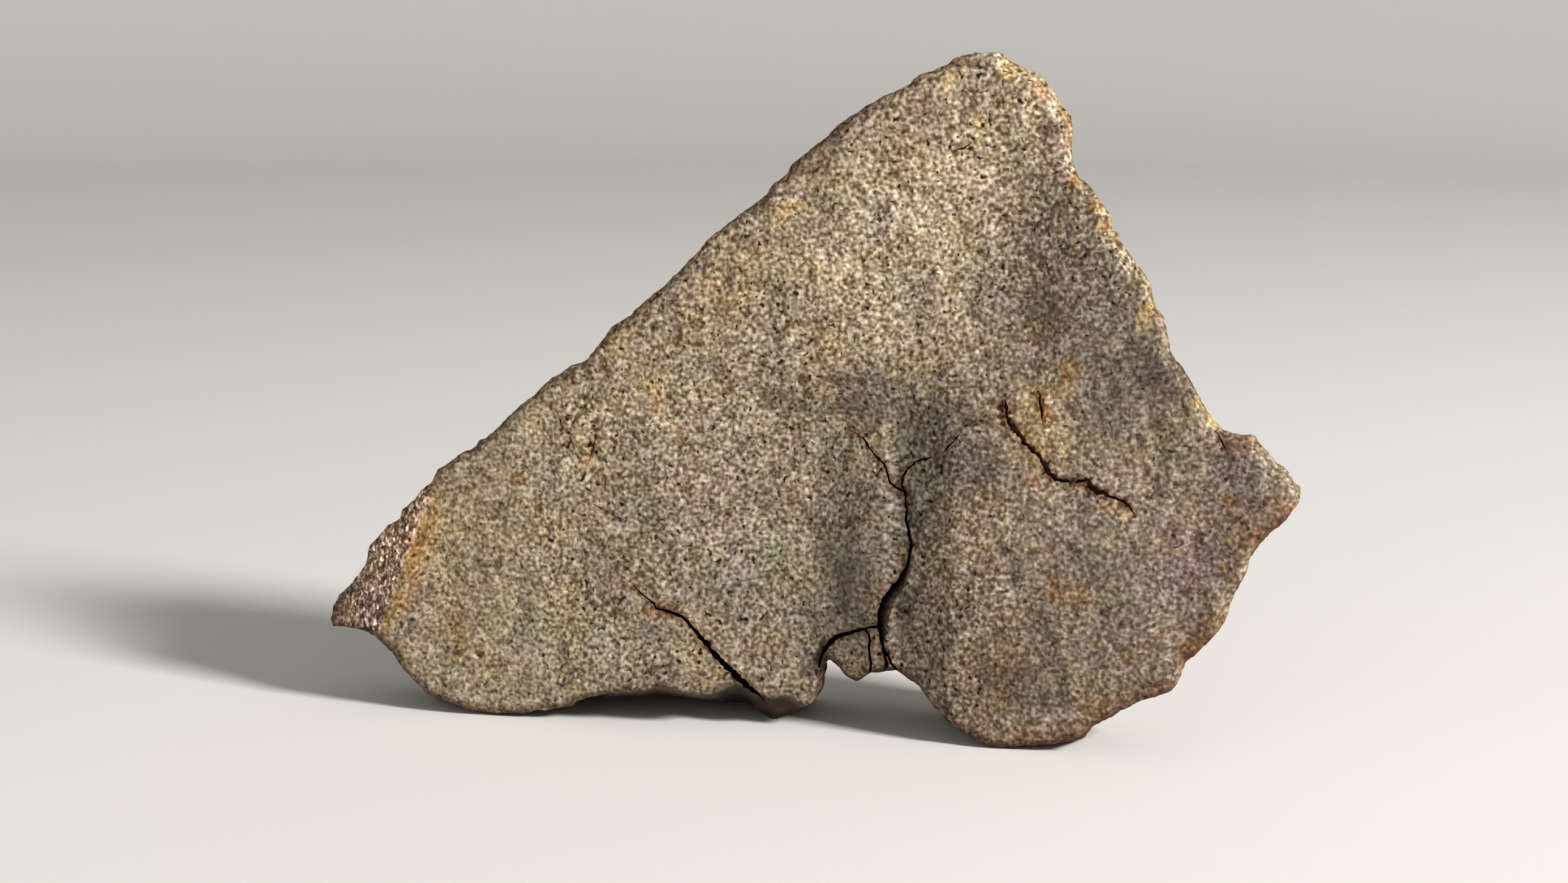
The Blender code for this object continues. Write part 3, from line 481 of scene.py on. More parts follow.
def make_outline_edge(collection):
    """The sharp, ragged outline of the whole stone, as a long prism along the lines of sight."""
    line = np.array(EDGE + EDGE[:1], float)
    length = np.concatenate([[0.0], np.cumsum(np.linalg.norm(np.diff(line, axis=0), axis=1))])
    at = np.linspace(0.0, length[-1], int(length[-1] / 3.4), endpoint=False)
    line = np.stack([np.interp(at, length, line[:, i]) for i in range(2)], axis=1)
    sections = []
    for k, y in enumerate([-9.0, -3.6, -3.1, -2.6, -2.1, -1.6, -1.1, -0.6, -0.1, 0.5, 1.1, 1.7, 2.3, 3.0, 3.8, 4.6, 5.4, 6.4, 8.0, 14.0]):
        ring = line.copy()
        for i, (u, v) in enumerate(line):
            spot = Vector((u / 8.5, v / 8.5, k * 0.45))
            ring[i] += [1.9 * noise.noise(spot), 1.9 * noise.noise(spot + Vector((9, 9, 9)))]
            spot = Vector((u / 24.0, v / 24.0, k * 0.45))
            ring[i] += [2.2 * noise.noise(spot), 2.2 * noise.noise(spot + Vector((9, 9, 9)))]
        sections.append(place(ring[:, 0], ring[:, 1], np.full(len(ring), y * MM)))
    return loft("outline_edge", sections, collection)


def make_undercut(collection):
    front = np.array([edge for edge, _ in UNDERCUT], float)
    back = np.array([end for _, end in UNDERCUT], float)
    front_y = FRONT_Y + 0.3 * MM
    sections = []
    for t in (-0.8, 0.0, 1.0):
        line = front + (back[:, :2] - front) * max(t, 0.0)
        y = front_y + (back[:, 2] * MM - front_y) * t
        top = place(line[:, 0], line[:, 1], y)
        drop = place(line[::-1, 0], line[::-1, 1] + 260.0, y[::-1])
        sections.append(np.concatenate([top, drop]))
    return loft("undercut", sections, collection)


def cut(obj, cutter, solver="EXACT", operation="DIFFERENCE"):
    modifier = obj.modifiers.new(cutter.name, "BOOLEAN")
    modifier.operation = operation
    modifier.solver = solver
    modifier.object = cutter


def ragged(stations, rag, seed):
    """The stations of a crack filled in every few units, with an uneven line and width."""
    path = np.array(stations, float)
    length = np.concatenate([[0.0], np.cumsum(np.linalg.norm(np.diff(path[:, :2], axis=0), axis=1))])
    at = np.linspace(0.0, length[-1], max(int(length[-1] / 3.2), 6))
    fine = np.stack([np.interp(at, length, path[:, i]) for i in range(3)], axis=1)
    ahead = np.gradient(fine[:, :2], axis=0)
    ahead /= np.linalg.norm(ahead, axis=1)[:, None]
    across = np.stack([-ahead[:, 1], ahead[:, 0]], axis=1)
    for i, s in enumerate(at):
        wiggle = noise.noise(Vector((s / 9.0, seed * 7.3, 0.5))) * 1.9 + noise.noise(Vector((s / 3.6, seed * 3.1, 9.5))) * 1.1
        fine[i, :2] += across[i] * wiggle * rag * min(1.0, 0.5 + fine[i, 2] / 12.0)
        fine[i, 2] *= 1.0 + rag * 0.5 * noise.noise(Vector((s / 5.0, seed * 1.7, 4.5)))
    return fine, across


def make_crack(name, depth, shift, rag, stations, seed, collection):
    path, across = ragged(stations, rag, seed)
    surface = face_y(path[:, 0], path[:, 1]) - relief(path[:, 0], path[:, 1])
    along = np.linspace(0.0, 1.0, len(path))
    taper = np.interp(path[:, 2], [0.0, 2.0, 6.0], [0.25, 0.6, 1.0])
    slope = np.array([np.interp(v, *LIPS[name]) if name in LIPS else 0.0 for v in path[:, 1]])
    sections = []
    for i in range(len(path)):
        ring = []
        for side, out in ((-1, -1.0), (-1, 0.0), (-1, 0.16), (-1, 0.45), (-1, 1.0), (1, 1.0), (1, 0.45), (1, 0.16), (1, 0.0), (1, -1.0)):
            deep = max(out, 0.0)
            half = path[i, 2] / 2 * (1.0 - 0.85 * deep)
            lip = slope[i] * max(1.0 - deep / 0.16, 0.0) if side < 0 else 0.0
            u = path[i, 0] + across[i, 0] * side * (half + lip) + deep * shift * MM / UNIT
            v = path[i, 1] + across[i, 1] * side * (half + lip)
            reach = (depth * taper[i] if out > 0 else 1.3) * MM
            ring.append(place(u, v, surface[i] + out * reach))
        sections.append(ring)
    return loft(name, sections, collection)


def coords(mesh):
    points = np.empty(len(mesh.vertices) * 3)
    mesh.vertices.foreach_get("co", points)
    return points.reshape(-1, 3)


def vertex_normals(mesh):
    normals = np.empty(len(mesh.vertices) * 3)
    mesh.vertices.foreach_get("normal", normals)
    return normals.reshape(-1, 3)


def fbm(points, scale, offset, octaves):
    shift = Vector(offset)
    return np.array([noise.fractal(Vector(p) * scale + shift, 1.0, 2.0, octaves) for p in points])


def divide_front(mesh):
    """Each face that looks towards the front is divided in four."""
    bm = bmesh.new()
    bm.from_mesh(mesh)
    eye = Vector(EYE)
    edges = set()
    for face in bm.faces:
        centre = face.calc_center_median()
        u, v = station(np.array(centre))
        depth = centre.y - DATUM[1] - face_y(u, v)
        if face.normal.dot((eye - centre).normalized()) > 0.04 and depth < 4.5 * MM:
            edges.update(face.edges)
    bmesh.ops.subdivide_edges(bm, edges=list(edges), cuts=1, use_grid_fill=True)
    bmesh.ops.triangulate(bm, faces=[f for f in bm.faces if len(f.verts) > 4])
    bm.to_mesh(mesh)
    bm.free()


def fit_outline(points, normals):
    """Draws the rim of the evened mesh out to the sharp, ragged outline again, as seen along the lines of sight."""
    u, v = station(points)
    gap, at, way = along_line(u, v, EDGE, closed=True)
    sign = np.where(within(u, v, EDGE), 1.0, -1.0)
    inner = gap * sign
    step = 4.0
    length = sum(math.dist(p, q) for p, q in zip(EDGE, EDGE[1:] + EDGE[:1]))
    bins = int(length / step)
    slot = np.minimum((at / length * bins).astype(int), bins - 1)
    low = np.full(bins, np.inf)
    np.minimum.at(low, slot, inner)
    known = np.isfinite(low)
    low = np.interp(np.arange(bins), np.flatnonzero(known), low[known], period=bins)
    low = np.minimum(low, 26.0)
    middle = (np.arange(bins) + 0.5) * length / bins
    corner = np.concatenate([[0.0], np.cumsum([math.dist(p, q) for p, q in zip(EDGE, EDGE[1:] + EDGE[:1])])])
    closed = np.array(EDGE + EDGE[:1], float)
    at_u, at_v = np.interp(middle, corner, closed[:, 0]), np.interp(middle, corner, closed[:, 1])
    keep = 1.0 - ease(1322, 1338, at_u) * (1.0 - ease(1528, 1544, at_u)) * ease(1060, 1075, at_v)
    low = low * keep - SPARE * (1.0 - keep)
    reach = np.interp(at / length * bins - 0.5, np.arange(bins), low + SPARE, period=bins)
    fall = np.clip(1.0 - (inner - np.minimum(reach, inner)) / 34.0, 0.0, 1.0) ** 2
    out = way / np.maximum(gap, 1e-6)[:, None] * sign[:, None] * (reach * fall)[:, None]
    return place(u + out[:, 0], v + out[:, 1], points[:, 1] - DATUM[1])


def rim(u, v):
    """For each station: its distance from the outline, where along it, and which way the outline faces there (right, down)."""
    gap, at, _ = along_line(u, v, EDGE, closed=True)
    closed = np.array(EDGE + EDGE[:1], float)
    corner = np.concatenate([[0.0], np.cumsum(np.linalg.norm(np.diff(closed, axis=0), axis=1))])
    ahead = np.stack([np.interp(at + 24.0, corner, closed[:, i], period=corner[-1]) - np.interp(at - 24.0, corner, closed[:, i], period=corner[-1]) for i in range(2)], axis=1)
    ahead /= np.maximum(np.linalg.norm(ahead, axis=1), 1e-6)[:, None]
    return gap, at, ahead[:, 1], -ahead[:, 0]


def weather(mesh):
    """The relief of the face, its worn rim, and the unevenness of broken stone down to the size of its grains."""
    points, normals = coords(mesh), vertex_normals(mesh)
    points = fit_outline(points, normals)
    points[:, 2] = np.maximum(points[:, 2], 0.0)
    u, v = station(points)
    y = points[:, 1] - DATUM[1]
    gap, at, right, down = rim(u, v)
    inside = gap * UNIT
    front = 1.0 - ease(0.0, 4.0 * MM, y - face_y(u, v))
    back = ease(0.0, 0.6, normals[:, 1])
    wide = 0.20 + 0.34 * ease(0.1, 0.8, right) * (1 - ease(0.3, 0.9, down)) + 0.12 * ease(0.2, 0.9, -down)
    wide *= 1.0 + 0.9 * fbm(np.stack([at * UNIT, at * 0.0, at * 0.0], axis=1), 260.0, (4, 4, 4), 2)
    wide = np.maximum(wide, 0.05) * MM
    bevel = np.clip(1.0 - inside / wide, 0.0, 1.0) * wide / MM
    points = place(u, v, y + front * (0.85 * MM * bevel - relief(u, v)))
    edge = np.interp(inside, [0.0, 1.0 * MM], [0.25, 1.0])
    rough = 0.55 * fbm(points, 160.0, (0, 0, 0), 2) * back
    rough += 0.15 * fbm(points, 520.0, (7, 3, 1), 2) * edge
    rough += 0.055 * fbm(points, 1500.0, (1, 8, 2), 2) * np.interp(inside, [0.0, 0.8 * MM], [0.5, 1.0])
    rough += 0.032 * fbm(points, 3400.0, (5, 2, 6), 1)
    base = ease(0.0, 0.5 * MM, points[:, 2])
    for pu, pv, radius, deep in PITS:
        rough -= deep * np.exp(-(((u - pu) / radius) ** 2 + ((v - pv) / radius) ** 2) ** 1.5) * (normals[:, 1] < 0)
    points += normals * (rough * (0.15 + 0.85 * base))[:, None] * MM
    points[:, 2] = np.maximum(points[:, 2], 0.0)
    mesh.vertices.foreach_set("co", points.reshape(-1))
    mesh.update()


def build_stone(collection):
    work = bpy.data.collections.new("work")
    bpy.context.scene.collection.children.link(work)
    blank = make_blank(work)
    for facet in FACETS:
        cut(blank, make_facet(*facet, work))
    for facet in BASE_FACETS:
        cut(blank, make_base_facet(*facet, work))
    cut(blank, make_arch(work))
    cut(blank, make_undercut(work))
    cut(blank, make_block("ground", Vector((0, 0, 0)), Vector((1, 0, 0)), Vector((0, 0, -1)), Vector((0, 0, -1)), work))
    remesh = blank.modifiers.new("even", "REMESH")
    remesh.mode = "VOXEL"
    remesh.voxel_size = VOXEL
    soften = blank.modifiers.new("soften", "SMOOTH")
    soften.factor = 0.5
    soften.iterations = 2
    mesh = as_mesh(blank, "winonaite_stone")
    divide_front(mesh)
    weather(mesh)
    stone = link(bpy.data.objects.new("winonaite_stone", mesh), collection)
    cut(stone, make_outline_edge(work), "MANIFOLD", "INTERSECT")
    whole = as_mesh(stone, "whole")
    for seed, (name, depth, shift, rag, stations) in enumerate(CRACKS):
        cut(stone, make_crack(name, depth, shift, rag, stations, seed + 1, work), "MANIFOLD")
    final = as_mesh(stone, "winonaite_stone")
    stone.modifiers.clear()
    stone.data = final
    for obj in list(work.objects):
        bpy.data.objects.remove(obj)
    bpy.data.collections.remove(work)
    colour_stone(final, whole)
    bpy.data.meshes.remove(whole)
    return stone


# ---------------------------------------------------------------- the stone's own colours, with some painted light and shade, as weights on its points
def add_weights(mesh, name, values):
    layer = mesh.attributes.new(name, "FLOAT", "POINT")
    layer.data.foreach_set("value", np.asarray(values, np.float32))


def add_tint(mesh, name, values):
    layer = mesh.attributes.new(name, "FLOAT_COLOR", "POINT")
    rgba = np.ones((len(values), 4), np.float32)
    rgba[:, :3] = values
    layer.data.foreach_set("color", rgba.reshape(-1))


def colour_stone(mesh, whole):
    """Stains, tones and wear, with some painted light and shade. whole is the stone before its cracks were cut."""
    points, normals = coords(mesh), vertex_normals(mesh)
    u, v = station(points)
    count = len(points)
    depth = (points[:, 1] - DATUM[1] - face_y(u, v) + relief(u, v)) / MM
    front = 1.0 - ease(1.2, 3.4, depth)
    sway = [fbm(points, 260.0, shift, 2) for shift in ((3, 1, 4), (1, 5, 9))]
    mottle = fbm(points, 900.0, (2, 6, 5), 3)
    broad = fbm(points, 95.0, (8, 2, 8), 2)
    tint = np.ones((count, 3))

    def stain(weight, colour):
        tint[:] *= 1.0 + np.clip(weight, 0.0, 1.0)[:, None] * (np.array(colour) - 1.0)

    # broad tones of the face, partly painted light and shade
    wu, wv = u + 26.0 * sway[0], v + 26.0 * sway[1]
    for zu, zv, ru, rv, turn, colour in TONES_AND_PAINTED_LIGHT:
        stain(hill(wu, wv, zu, zv, ru, rv, turn) * front, colour)
    line = np.interp(v, [150, 230, 400, 560, 620, 700, 900, 1200], [1730, 1700, 1655, 1618, 1560, 1500, 1490, 1500])
    shade = ease(-45.0, 55.0, wu - line) * ease(140.0, 300.0, wv + 0.4 * (wu - 1700.0))
    stain(shade * front, (0.92, 0.93, 1.0))
    grey = shade * front
    # stains with uneven edges, a few of them painted light and shade
    wu, wv = u + 13.0 * sway[1] + 9.0 * mottle, v + 13.0 * sway[0] - 9.0 * mottle
    for zu, zv, ru, rv, turn, colour in STAINS_AND_PAINTED_LIGHT:
        stain(ease(0.12, 0.72, hill(wu, wv, zu, zv, ru, rv, turn) * (1.0 + 1.2 * mottle)) * front, colour)

    # the rim: painted shade in brown on the upper left, which faces away from the lamp; a painted highlight in gold on
    # the bevel of the upper right, which faces the lamp; rust along the lower right; painted shade along every rim that
    # faces down
    gap, at, right, down = rim(u, v)
    uneven = 1.0 + 1.3 * mottle
    edge = 1.0 - ease(0.8, 3.4, depth + 1.2 * sway[1])
    # painted shade along the upper-left rim, which faces away from the lamp: brown, and greyer at the left tip
    left_rim_shade = ease(11.0, 2.0, gap * uneven) * ease(0.1, 0.5, -right) * ease(1120.0, 1050.0, v) * (0.2 + 0.8 * edge)
    stain(left_rim_shade * ease(660.0, 740.0, u), (0.66, 0.52, 0.38))
    stain(left_rim_shade * ease(740.0, 660.0, u), (0.42, 0.38, 0.37))
    # painted highlight on the bevel of the upper right, which faces the lamp; orange patches of its own on its upper
    # part
    bevel = ease(26.0, 7.0, gap * uneven) * ease(0.2, 0.6, right) * ease(0.5, 0.1, down) * (0.35 + 0.65 * edge)
    stain(bevel * ease(980.0, 640.0, v) * (1.0 + 0.5 * mottle), (1.20, 1.10, 0.92))
    stain(ease(0.08, 0.34, mottle) * bevel * ease(560.0, 400.0, v), (1.0, 0.90, 0.76))
    stain(ease(46.0, 6.0, gap * uneven) * ease(0.25, 0.6, down) * ease(1500.0, 1700.0, u), (0.86, 0.66, 0.50))
    # painted shade: darker brown along every rim that faces down
    stain(ease(14.0, 3.0, gap) * ease(0.4, 0.8, down), (0.62, 0.50, 0.42))

    # painted shade: undersides are darkened, and so are the strip under the left lobe and the left wall of the arch;
    # the foot is a red-brown block, made darker as painted shade
    under = ease(0.30, 0.75, -normals[:, 2])
    stain(under, (0.46, 0.42, 0.40))
    # the foot: its own red-brown, darkened further as painted shade, for it faces down
    foot = ease(0.32, 0.55, hill(u + 10.0 * mottle, v, 1272, 1166, 44, 24)) * front
    stain(foot, (0.42, 0.31, 0.27))
    # painted shade on the strip under the left lobe
    stain(ease(0.15, 0.55, hill(u, v, 1208, 1141, 42, 15, 20)), (0.50, 0.54, 0.60))
    # painted shadow on the left wall of the arch
    stain(ease(0.10, 0.50, hill(u + 8.0 * mottle, v, 1350, 1104, 11, 52)), (0.32, 0.23, 0.18))

    # the fresh break at the left end, which faces away from the lamp: its crystals, and a strong brightening that is
    # painted light
    side = (706.0 - u) * 233.0 - (v - 807.0) * 84.0
    fresh_break_and_painted_light = ease(-6.0, 5.0, side / 247.7) * ease(760.0, 720.0, u) * (1.0 - ease(2.6, 4.2, depth))
    # painted light: the break, turned from the lamp, is made much lighter than the rest of the face
    stain(fresh_break_and_painted_light, (2.85, 2.50, 2.74))
    su = u + 7.0 * sway[0] + 3.0 * mottle
    stain(ease(0.05, 0.75, hill(su, v, 682, 915, 130, 24, 110)) * (1.0 - fresh_break_and_painted_light), (1.16, 0.98, 0.70))
    stain(hill(su, v, 681, 905, 34, 9, 110) * (1.0 - fresh_break_and_painted_light), (0.94, 0.80, 0.56))
    stain(hill(su, v, 640, 1017, 28, 9, 110) * (1.0 - fresh_break_and_painted_light), (1.20, 1.04, 0.70))
    grey = np.maximum(grey, fresh_break_and_painted_light)

    # cracks: rusty lips, and dark walls whose darkness is partly rust-brown and partly painted shade
    wall_depth, scar = np.zeros(count), np.zeros(count)
    near = np.full(count, 99.0)
    for name, _, _, _, stations in CRACKS:
        gap = line_distance(u, v, stations) - 0.5 * np.interp(v, *zip(*sorted((s[1], s[2]) for s in stations)))
        near = np.minimum(near, gap)
        spread, strength = RUST.get(name, (6.0, 0.35))
        halo = np.exp(-((np.maximum(gap, 0.0) / spread) ** 2)) * strength * (1.0 + 1.6 * mottle)
        rough = 1.0 if name.startswith("crack_right") else 0.35
        scar = np.maximum(scar, np.exp(-((np.maximum(gap, 0.0) / 6.5) ** 2)) * rough * (1.0 + 1.2 * mottle) * front)
        stain(halo * front, (1.0, 0.80, 0.60))
        stain(np.exp(-((np.maximum(gap, 0.0) / 4.2) ** 2)) * min(1.0, 1.4 * strength) * ease(-0.35, 0.15, sway[1] + mottle) * front, (0.46, 0.32, 0.24))
    tree = BVHTree.FromPolygons([p.co for p in whole.vertices], [tuple(p.vertices) for p in whole.polygons])
    close = np.flatnonzero((near < 26.0) & (depth > 0.05) & (depth < 6.0))
    for i in close:
        wall_depth[i] = tree.find_nearest(Vector(points[i]))[3]
    # the walls go dark with depth below the face: rust-brown, and painted shade
    wall = ease(0.03 * MM, 0.30 * MM, wall_depth)
    stain(wall, (0.42, 0.28, 0.19))

    # the back and the sides, where no light tone is known: slow brown and grey changes
    other = 1.0 - front
    stain(other * ease(0.0, 0.45, broad), (0.72, 0.70, 0.70))
    stain(other * ease(0.05, 0.45, -broad), (0.98, 0.86, 0.70))
    stain(other * ease(0.22, 0.50, sway[0]), (0.94, 0.74, 0.52))
    stain(other, (0.86, 0.84, 0.82))
    grey = np.maximum(grey, other * ease(-0.1, 0.3, broad))

    add_tint(mesh, "tint", tint)
    add_weights(mesh, "grey", grey)
    add_weights(mesh, "fresh_break_and_painted_light", fresh_break_and_painted_light)
    calm = 0.24 * front * np.maximum(ease(1560.0, 1690.0, u) * ease(400.0, 560.0, v), ease(980.0, 820.0, u))
    calm = np.maximum.reduce([calm, 0.05 * front, 0.38 * hill(u, v, 1392, 955, 55, 110) * front]) * (1.0 - fresh_break_and_painted_light)
    calm = np.maximum.reduce([calm, 0.85 * under * front, 0.85 * foot, 0.6 * wall, 0.8 * ease(0.2, 0.6, hill(u, v, 1208, 1140, 40, 15, 20))])
    add_weights(mesh, "calm", calm)
    add_weights(mesh, "scar", np.clip(scar, 0.0, 1.0))


def srgb(r, g, b):
    return tuple(c / 12.92 if c <= 0.04045 else ((c + 0.055) / 1.055) ** 2.4 for c in (r / 255, g / 255, b / 255)) + (1.0,)


class Graph:
    """Short names for the nodes that the materials are made of."""

    def __init__(self, name):
        self.material = bpy.data.materials.new(name)
        self.material.use_nodes = True
        self.tree = self.material.node_tree
        self.shader = self.tree.nodes["Principled BSDF"]

    def put(self, socket, value):
        if isinstance(value, bpy.types.NodeSocket):
            self.tree.links.new(value, socket)
        else:
            socket.default_value = value

    def node(self, kind, values=None, **settings):
        node = self.tree.nodes.new(kind)
        for name, value in settings.items():
            setattr(node, name, value)
        for name, value in (values or {}).items():
            self.put(node.inputs[name], value)
        return node

    def math(self, operation, a, b=0.0, c=0.0, clamp=False):
        return self.node("ShaderNodeMath", {0: a, 1: b, 2: c}, operation=operation, use_clamp=clamp).outputs[0]

    def vector(self, operation, a, b=(0, 0, 0), scale=None):
        values = {0: a, 1: b}
        if scale is not None:
            values["Scale"] = scale
        return self.node("ShaderNodeVectorMath", values, operation=operation).outputs[0]

    def noise(self, at, scale, detail=1.0, roughness=0.5, distortion=0.0):
        return self.node("ShaderNodeTexNoise", {"Vector": at, "Scale": scale, "Detail": detail, "Roughness": roughness, "Distortion": distortion}, noise_dimensions="3D")

    def cells(self, at, scale, feature="F1", randomness=1.0):
        return self.node("ShaderNodeTexVoronoi", {"Vector": at, "Scale": scale, "Randomness": randomness}, voronoi_dimensions="3D", feature=feature)

    def between(self, value, low, high, to_low=0.0, to_high=1.0, smooth=True):
        node = self.node("ShaderNodeMapRange", {0: value, 1: low, 2: high, 3: to_low, 4: to_high})
        node.interpolation_type = "SMOOTHSTEP" if smooth else "LINEAR"
        return node.outputs[0]

    def mix(self, factor, a, b, blend="MIX"):
        node = self.tree.nodes.new("ShaderNodeMix")
        node.data_type = "RGBA"
        node.blend_type = blend
        self.put(node.inputs[0], factor)
        self.put(node.inputs[6], a)
        self.put(node.inputs[7], b)
        return node.outputs[2]

    def ramp(self, factor, stops, interpolation="LINEAR"):
        node = self.node("ShaderNodeValToRGB", {0: factor})
        node.color_ramp.interpolation = interpolation
        while len(node.color_ramp.elements) < len(stops):
            node.color_ramp.elements.new(1.0)
        for element, (at, colour) in zip(node.color_ramp.elements, stops):
            element.position = at
            element.color = colour
        return node.outputs[0]

    def weight(self, name):
        return self.node("ShaderNodeAttribute", attribute_name=name, attribute_type="GEOMETRY")


def make_stone_material():
    g = Graph("winonaite")
    at = g.node("ShaderNodeTexCoord").outputs["Object"]
    wobble = g.vector("SUBTRACT", g.noise(at, 2100.0, 1.0).outputs["Color"], (0.5, 0.5, 0.5))
    at = g.vector("ADD", at, g.vector("SCALE", wobble, scale=0.00014))

    # the sugary grain: light grains a quarter of a millimetre across, with dark seams and holes between them
    grain = g.cells(at, 4800.0)
    blob = g.between(grain.outputs["Distance"], 0.05, 0.75, 1.0, 0.0)
    fine = g.noise(at, 4750.0, 0.35, 0.4).outputs["Fac"]
    clump = g.noise(at, 1300.0, 2.0, 0.55).outputs["Fac"]
    lone = g.node("ShaderNodeSeparateColor", {0: grain.outputs["Color"]})
    grit = g.math("MULTIPLY_ADD", blob, 0.20, g.math("MULTIPLY_ADD", fine, 1.20, g.math("MULTIPLY", clump, 0.32)))
    grit = g.math("MULTIPLY_ADD", lone.outputs[0], 0.13, grit)
    # the fresh break: crystals, each with its own tone, some of them near-white as painted glints
    steep = g.vector("MULTIPLY", at, (1.0, 0.4, 1.0))
    crystal = g.cells(steep, 3900.0)
    facet = g.node("ShaderNodeSeparateColor", {0: crystal.outputs["Color"]})
    fresh_break_and_painted_light = g.weight("fresh_break_and_painted_light").outputs["Fac"]
    sparkle = g.noise(steep, 5200.0, 0.6, 0.5).outputs["Fac"]
    coarse = g.math("MULTIPLY_ADD", g.math("POWER", facet.outputs[0], 2.2), 0.48, g.math("MULTIPLY_ADD", sparkle, 1.35, 0.08))
    coarse = g.math("MULTIPLY_ADD", g.between(crystal.outputs["Distance"], 0.40, 0.66), -0.22, coarse)
    # painted glints: a few crystals made near-white
    coarse = g.math("MULTIPLY_ADD", g.between(facet.outputs[1], 0.93, 0.96), 0.45, coarse)
    grit = g.math("ADD", grit, g.math("MULTIPLY", fresh_break_and_painted_light, g.math("SUBTRACT", coarse, grit)))
    grit = g.between(grit, 0.425, 1.475, smooth=False)
    grey = g.weight("grey").outputs["Fac"]
    grit = g.math("POWER", grit, g.math("MULTIPLY_ADD", grey, 0.22, 1.0))
    calm = g.weight("calm").outputs["Fac"]
    grit = g.math("ADD", grit, g.math("MULTIPLY", calm, g.math("SUBTRACT", 0.44, grit)))
    colour = g.ramp(
        grit,
        [(0.0, srgb(49, 36, 18)), (0.2, srgb(83, 69, 49)), (0.4, srgb(122, 109, 89)), (0.6, srgb(159, 148, 129)), (0.8, srgb(191, 181, 164)), (1.0, srgb(226, 219, 206))],
    )
    # the grains' own colours, then millimetre patches of yellow, pink, grey and olive
    own = g.ramp(lone.outputs[1], [(0.0, (0.94, 0.94, 0.98, 1)), (0.5, (1.0, 0.99, 0.97, 1)), (0.85, (1.03, 1.0, 0.93, 1)), (1.0, (1.05, 0.97, 0.92, 1))])
    colour = g.mix(0.16, colour, own, "MULTIPLY")
    patch = g.noise(at, 420.0, 3.0, 0.6).outputs["Color"]
    patch = g.node("ShaderNodeSeparateColor", {0: patch})
    warm = g.ramp(patch.outputs[0], [(0.30, (0.86, 0.87, 0.98, 1)), (0.45, (0.98, 0.97, 1.0, 1)), (0.55, (1.01, 1.0, 0.96, 1)), (0.72, (1.10, 1.02, 0.76, 1))])
    colour = g.mix(0.75, colour, warm, "MULTIPLY")
    pink = g.ramp(patch.outputs[1], [(0.32, (0.93, 1.0, 0.94, 1)), (0.5, (1.0, 1.0, 1.0, 1)), (0.68, (1.07, 0.96, 0.95, 1))])
    colour = g.mix(0.7, colour, pink, "MULTIPLY")
    # uneven holes where grains have dropped out, more of them along the cracks, filled with near-black brown as painted
    # shade
    hollow = g.noise(g.vector("ADD", at, (0.013, 0.021, 0.017)), 4300.0, 0.5, 0.5).outputs["Fac"]
    hollow = g.math("MULTIPLY_ADD", g.weight("scar").outputs["Fac"], -0.12, hollow)
    pit = g.math("MULTIPLY", g.between(hollow, 0.22, 0.385, 1.0, 0.0), g.math("SUBTRACT", 1.0, calm))
    colour = g.mix(pit, colour, srgb(24, 16, 8))
    colour = g.mix(1.0, colour, g.weight("tint").outputs["Color"], "MULTIPLY")
    g.put(g.shader.inputs["Base Color"], colour)

    glint = g.math("MULTIPLY", g.between(lone.outputs[1], 0.84, 0.92, 0.0, 1.0), g.math("SUBTRACT", 1.0, calm))
    rough = g.math("MULTIPLY_ADD", fine, 0.25, 0.66)
    rough = g.math("MULTIPLY_ADD", glint, -0.38, rough)
    g.put(g.shader.inputs["Roughness"], rough)
    g.put(g.shader.inputs["Specular IOR Level"], g.math("MULTIPLY_ADD", pit, -0.28, g.math("MULTIPLY_ADD", glint, 0.5, 0.28)))

    height = g.math("MULTIPLY_ADD", blob, 0.25, g.math("MULTIPLY_ADD", fine, 0.9, g.math("MULTIPLY", clump, 0.6)))
    height = g.math("MULTIPLY_ADD", lone.outputs[0], 0.12, height)
    height = g.math("MULTIPLY_ADD", pit, -0.25, height)
    bump = g.node("ShaderNodeBump", {"Strength": 0.6, "Distance": 0.00007, "Height": height})
    g.put(g.shader.inputs["Normal"], bump.outputs[0])
    return g.material


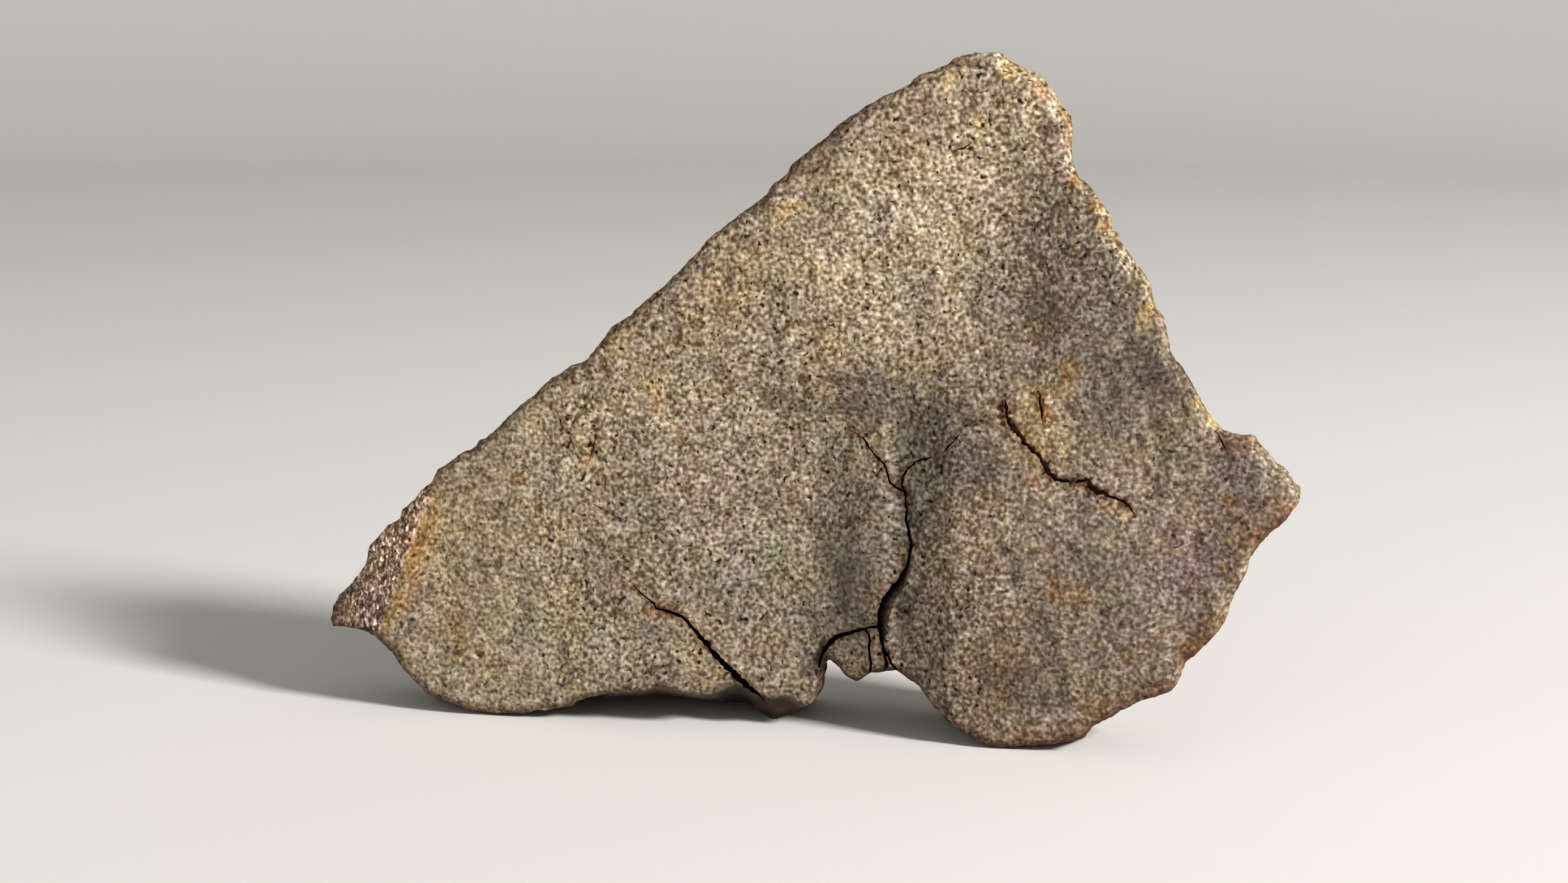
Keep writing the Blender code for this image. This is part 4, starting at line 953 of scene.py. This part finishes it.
def make_floor():
    """One pale sheet that lies flat under the stone and rises all round, far behind it."""
    rings, around = [], 96
    profile = [(0.0, 0.0), (0.05, 0.0), (0.12, 0.0), (0.25, 0.0), (0.45, 0.0)]
    profile += [(0.45 + 0.25 * math.sin(a), 0.25 - 0.25 * math.cos(a)) for a in np.linspace(0.1, math.pi / 2, 14)]
    profile += [(0.70, 0.45)]
    bm = bmesh.new()
    centre = bm.verts.new((0, 0, 0))
    for radius, height in profile[1:]:
        rings.append([bm.verts.new((radius * math.cos(t), radius * math.sin(t), height)) for t in np.linspace(0, 2 * math.pi, around, endpoint=False)])
    for i in range(around):
        bm.faces.new((centre, rings[0][i], rings[0][(i + 1) % around]))
    for one, two in zip(rings, rings[1:]):
        for i in range(around):
            j = (i + 1) % around
            bm.faces.new((one[i], two[i], two[j], one[j]))
    mesh = bpy.data.meshes.new("floor")
    bm.to_mesh(mesh)
    bm.free()
    mesh.polygons.foreach_set("use_smooth", [True] * len(mesh.polygons))
    mat = bpy.data.materials.new("floor_matt")
    mat.use_nodes = True
    shader = mat.node_tree.nodes["Principled BSDF"]
    shader.inputs["Base Color"].default_value = (0.68, 0.67, 0.65, 1.0)
    shader.inputs["Roughness"].default_value = 0.9
    mesh.materials.append(mat)
    return link(bpy.data.objects.new("floor", mesh), bpy.context.scene.collection)


def make_lamp(name, toward, distance, size, power, colour):
    """A square soft lamp at that distance from the stone, in the direction given."""
    data = bpy.data.lights.new(name, "AREA")
    data.shape = "SQUARE"
    data.size = size
    data.energy = power
    data.color = colour
    lamp = link(bpy.data.objects.new(name, data), bpy.context.scene.collection)
    toward = Vector(toward).normalized()
    lamp.location = Vector((0, 0, 0.015)) + toward * distance
    lamp.rotation_mode = "QUATERNION"
    lamp.rotation_quaternion = toward.to_track_quat("Z", "Y")
    return lamp


def make_camera():
    data = bpy.data.cameras.new("photo_view")
    data.sensor_fit = "HORIZONTAL"
    data.sensor_width = 36.0
    data.lens = 36.0 * FOCAL / 2576.0
    data.clip_start = 0.001
    data.clip_end = 10.0
    camera = link(bpy.data.objects.new("photo_view", data), bpy.context.scene.collection)
    ahead, right, up = view_axes()
    camera.matrix_world = Matrix.Translation(Vector(EYE)) @ Matrix((right, up, -ahead)).transposed().to_4x4()
    bpy.context.scene.camera = camera


def make_world():
    world = bpy.data.worlds.new("studio")
    world.use_nodes = True
    back = world.node_tree.nodes["Background"]
    back.inputs["Color"].default_value = (1.0, 0.98, 0.95, 1.0)
    back.inputs["Strength"].default_value = 0.27
    bpy.context.scene.world = world


scene = bpy.context.scene
scene.view_settings.view_transform = "Standard"
make_camera()
make_world()
make_lamp("key", (0.82, -0.31, 0.46), 0.60, 0.107, 6.5, (1.0, 0.975, 0.95))
make_lamp("fill", (-0.45, -0.80, 0.40), 0.45, 0.30, 0.10, (0.97, 0.98, 1.0))
floor = make_floor()

stone = build_stone(scene.collection)
stone.data.materials.clear()
stone.data.materials.append(make_stone_material())
stone.data.polygons.foreach_set("use_smooth", [True] * len(stone.data.polygons))
stone.data.set_sharp_from_angle(angle=math.radians(55.0))
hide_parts("meteorite")
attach(stone, "root")
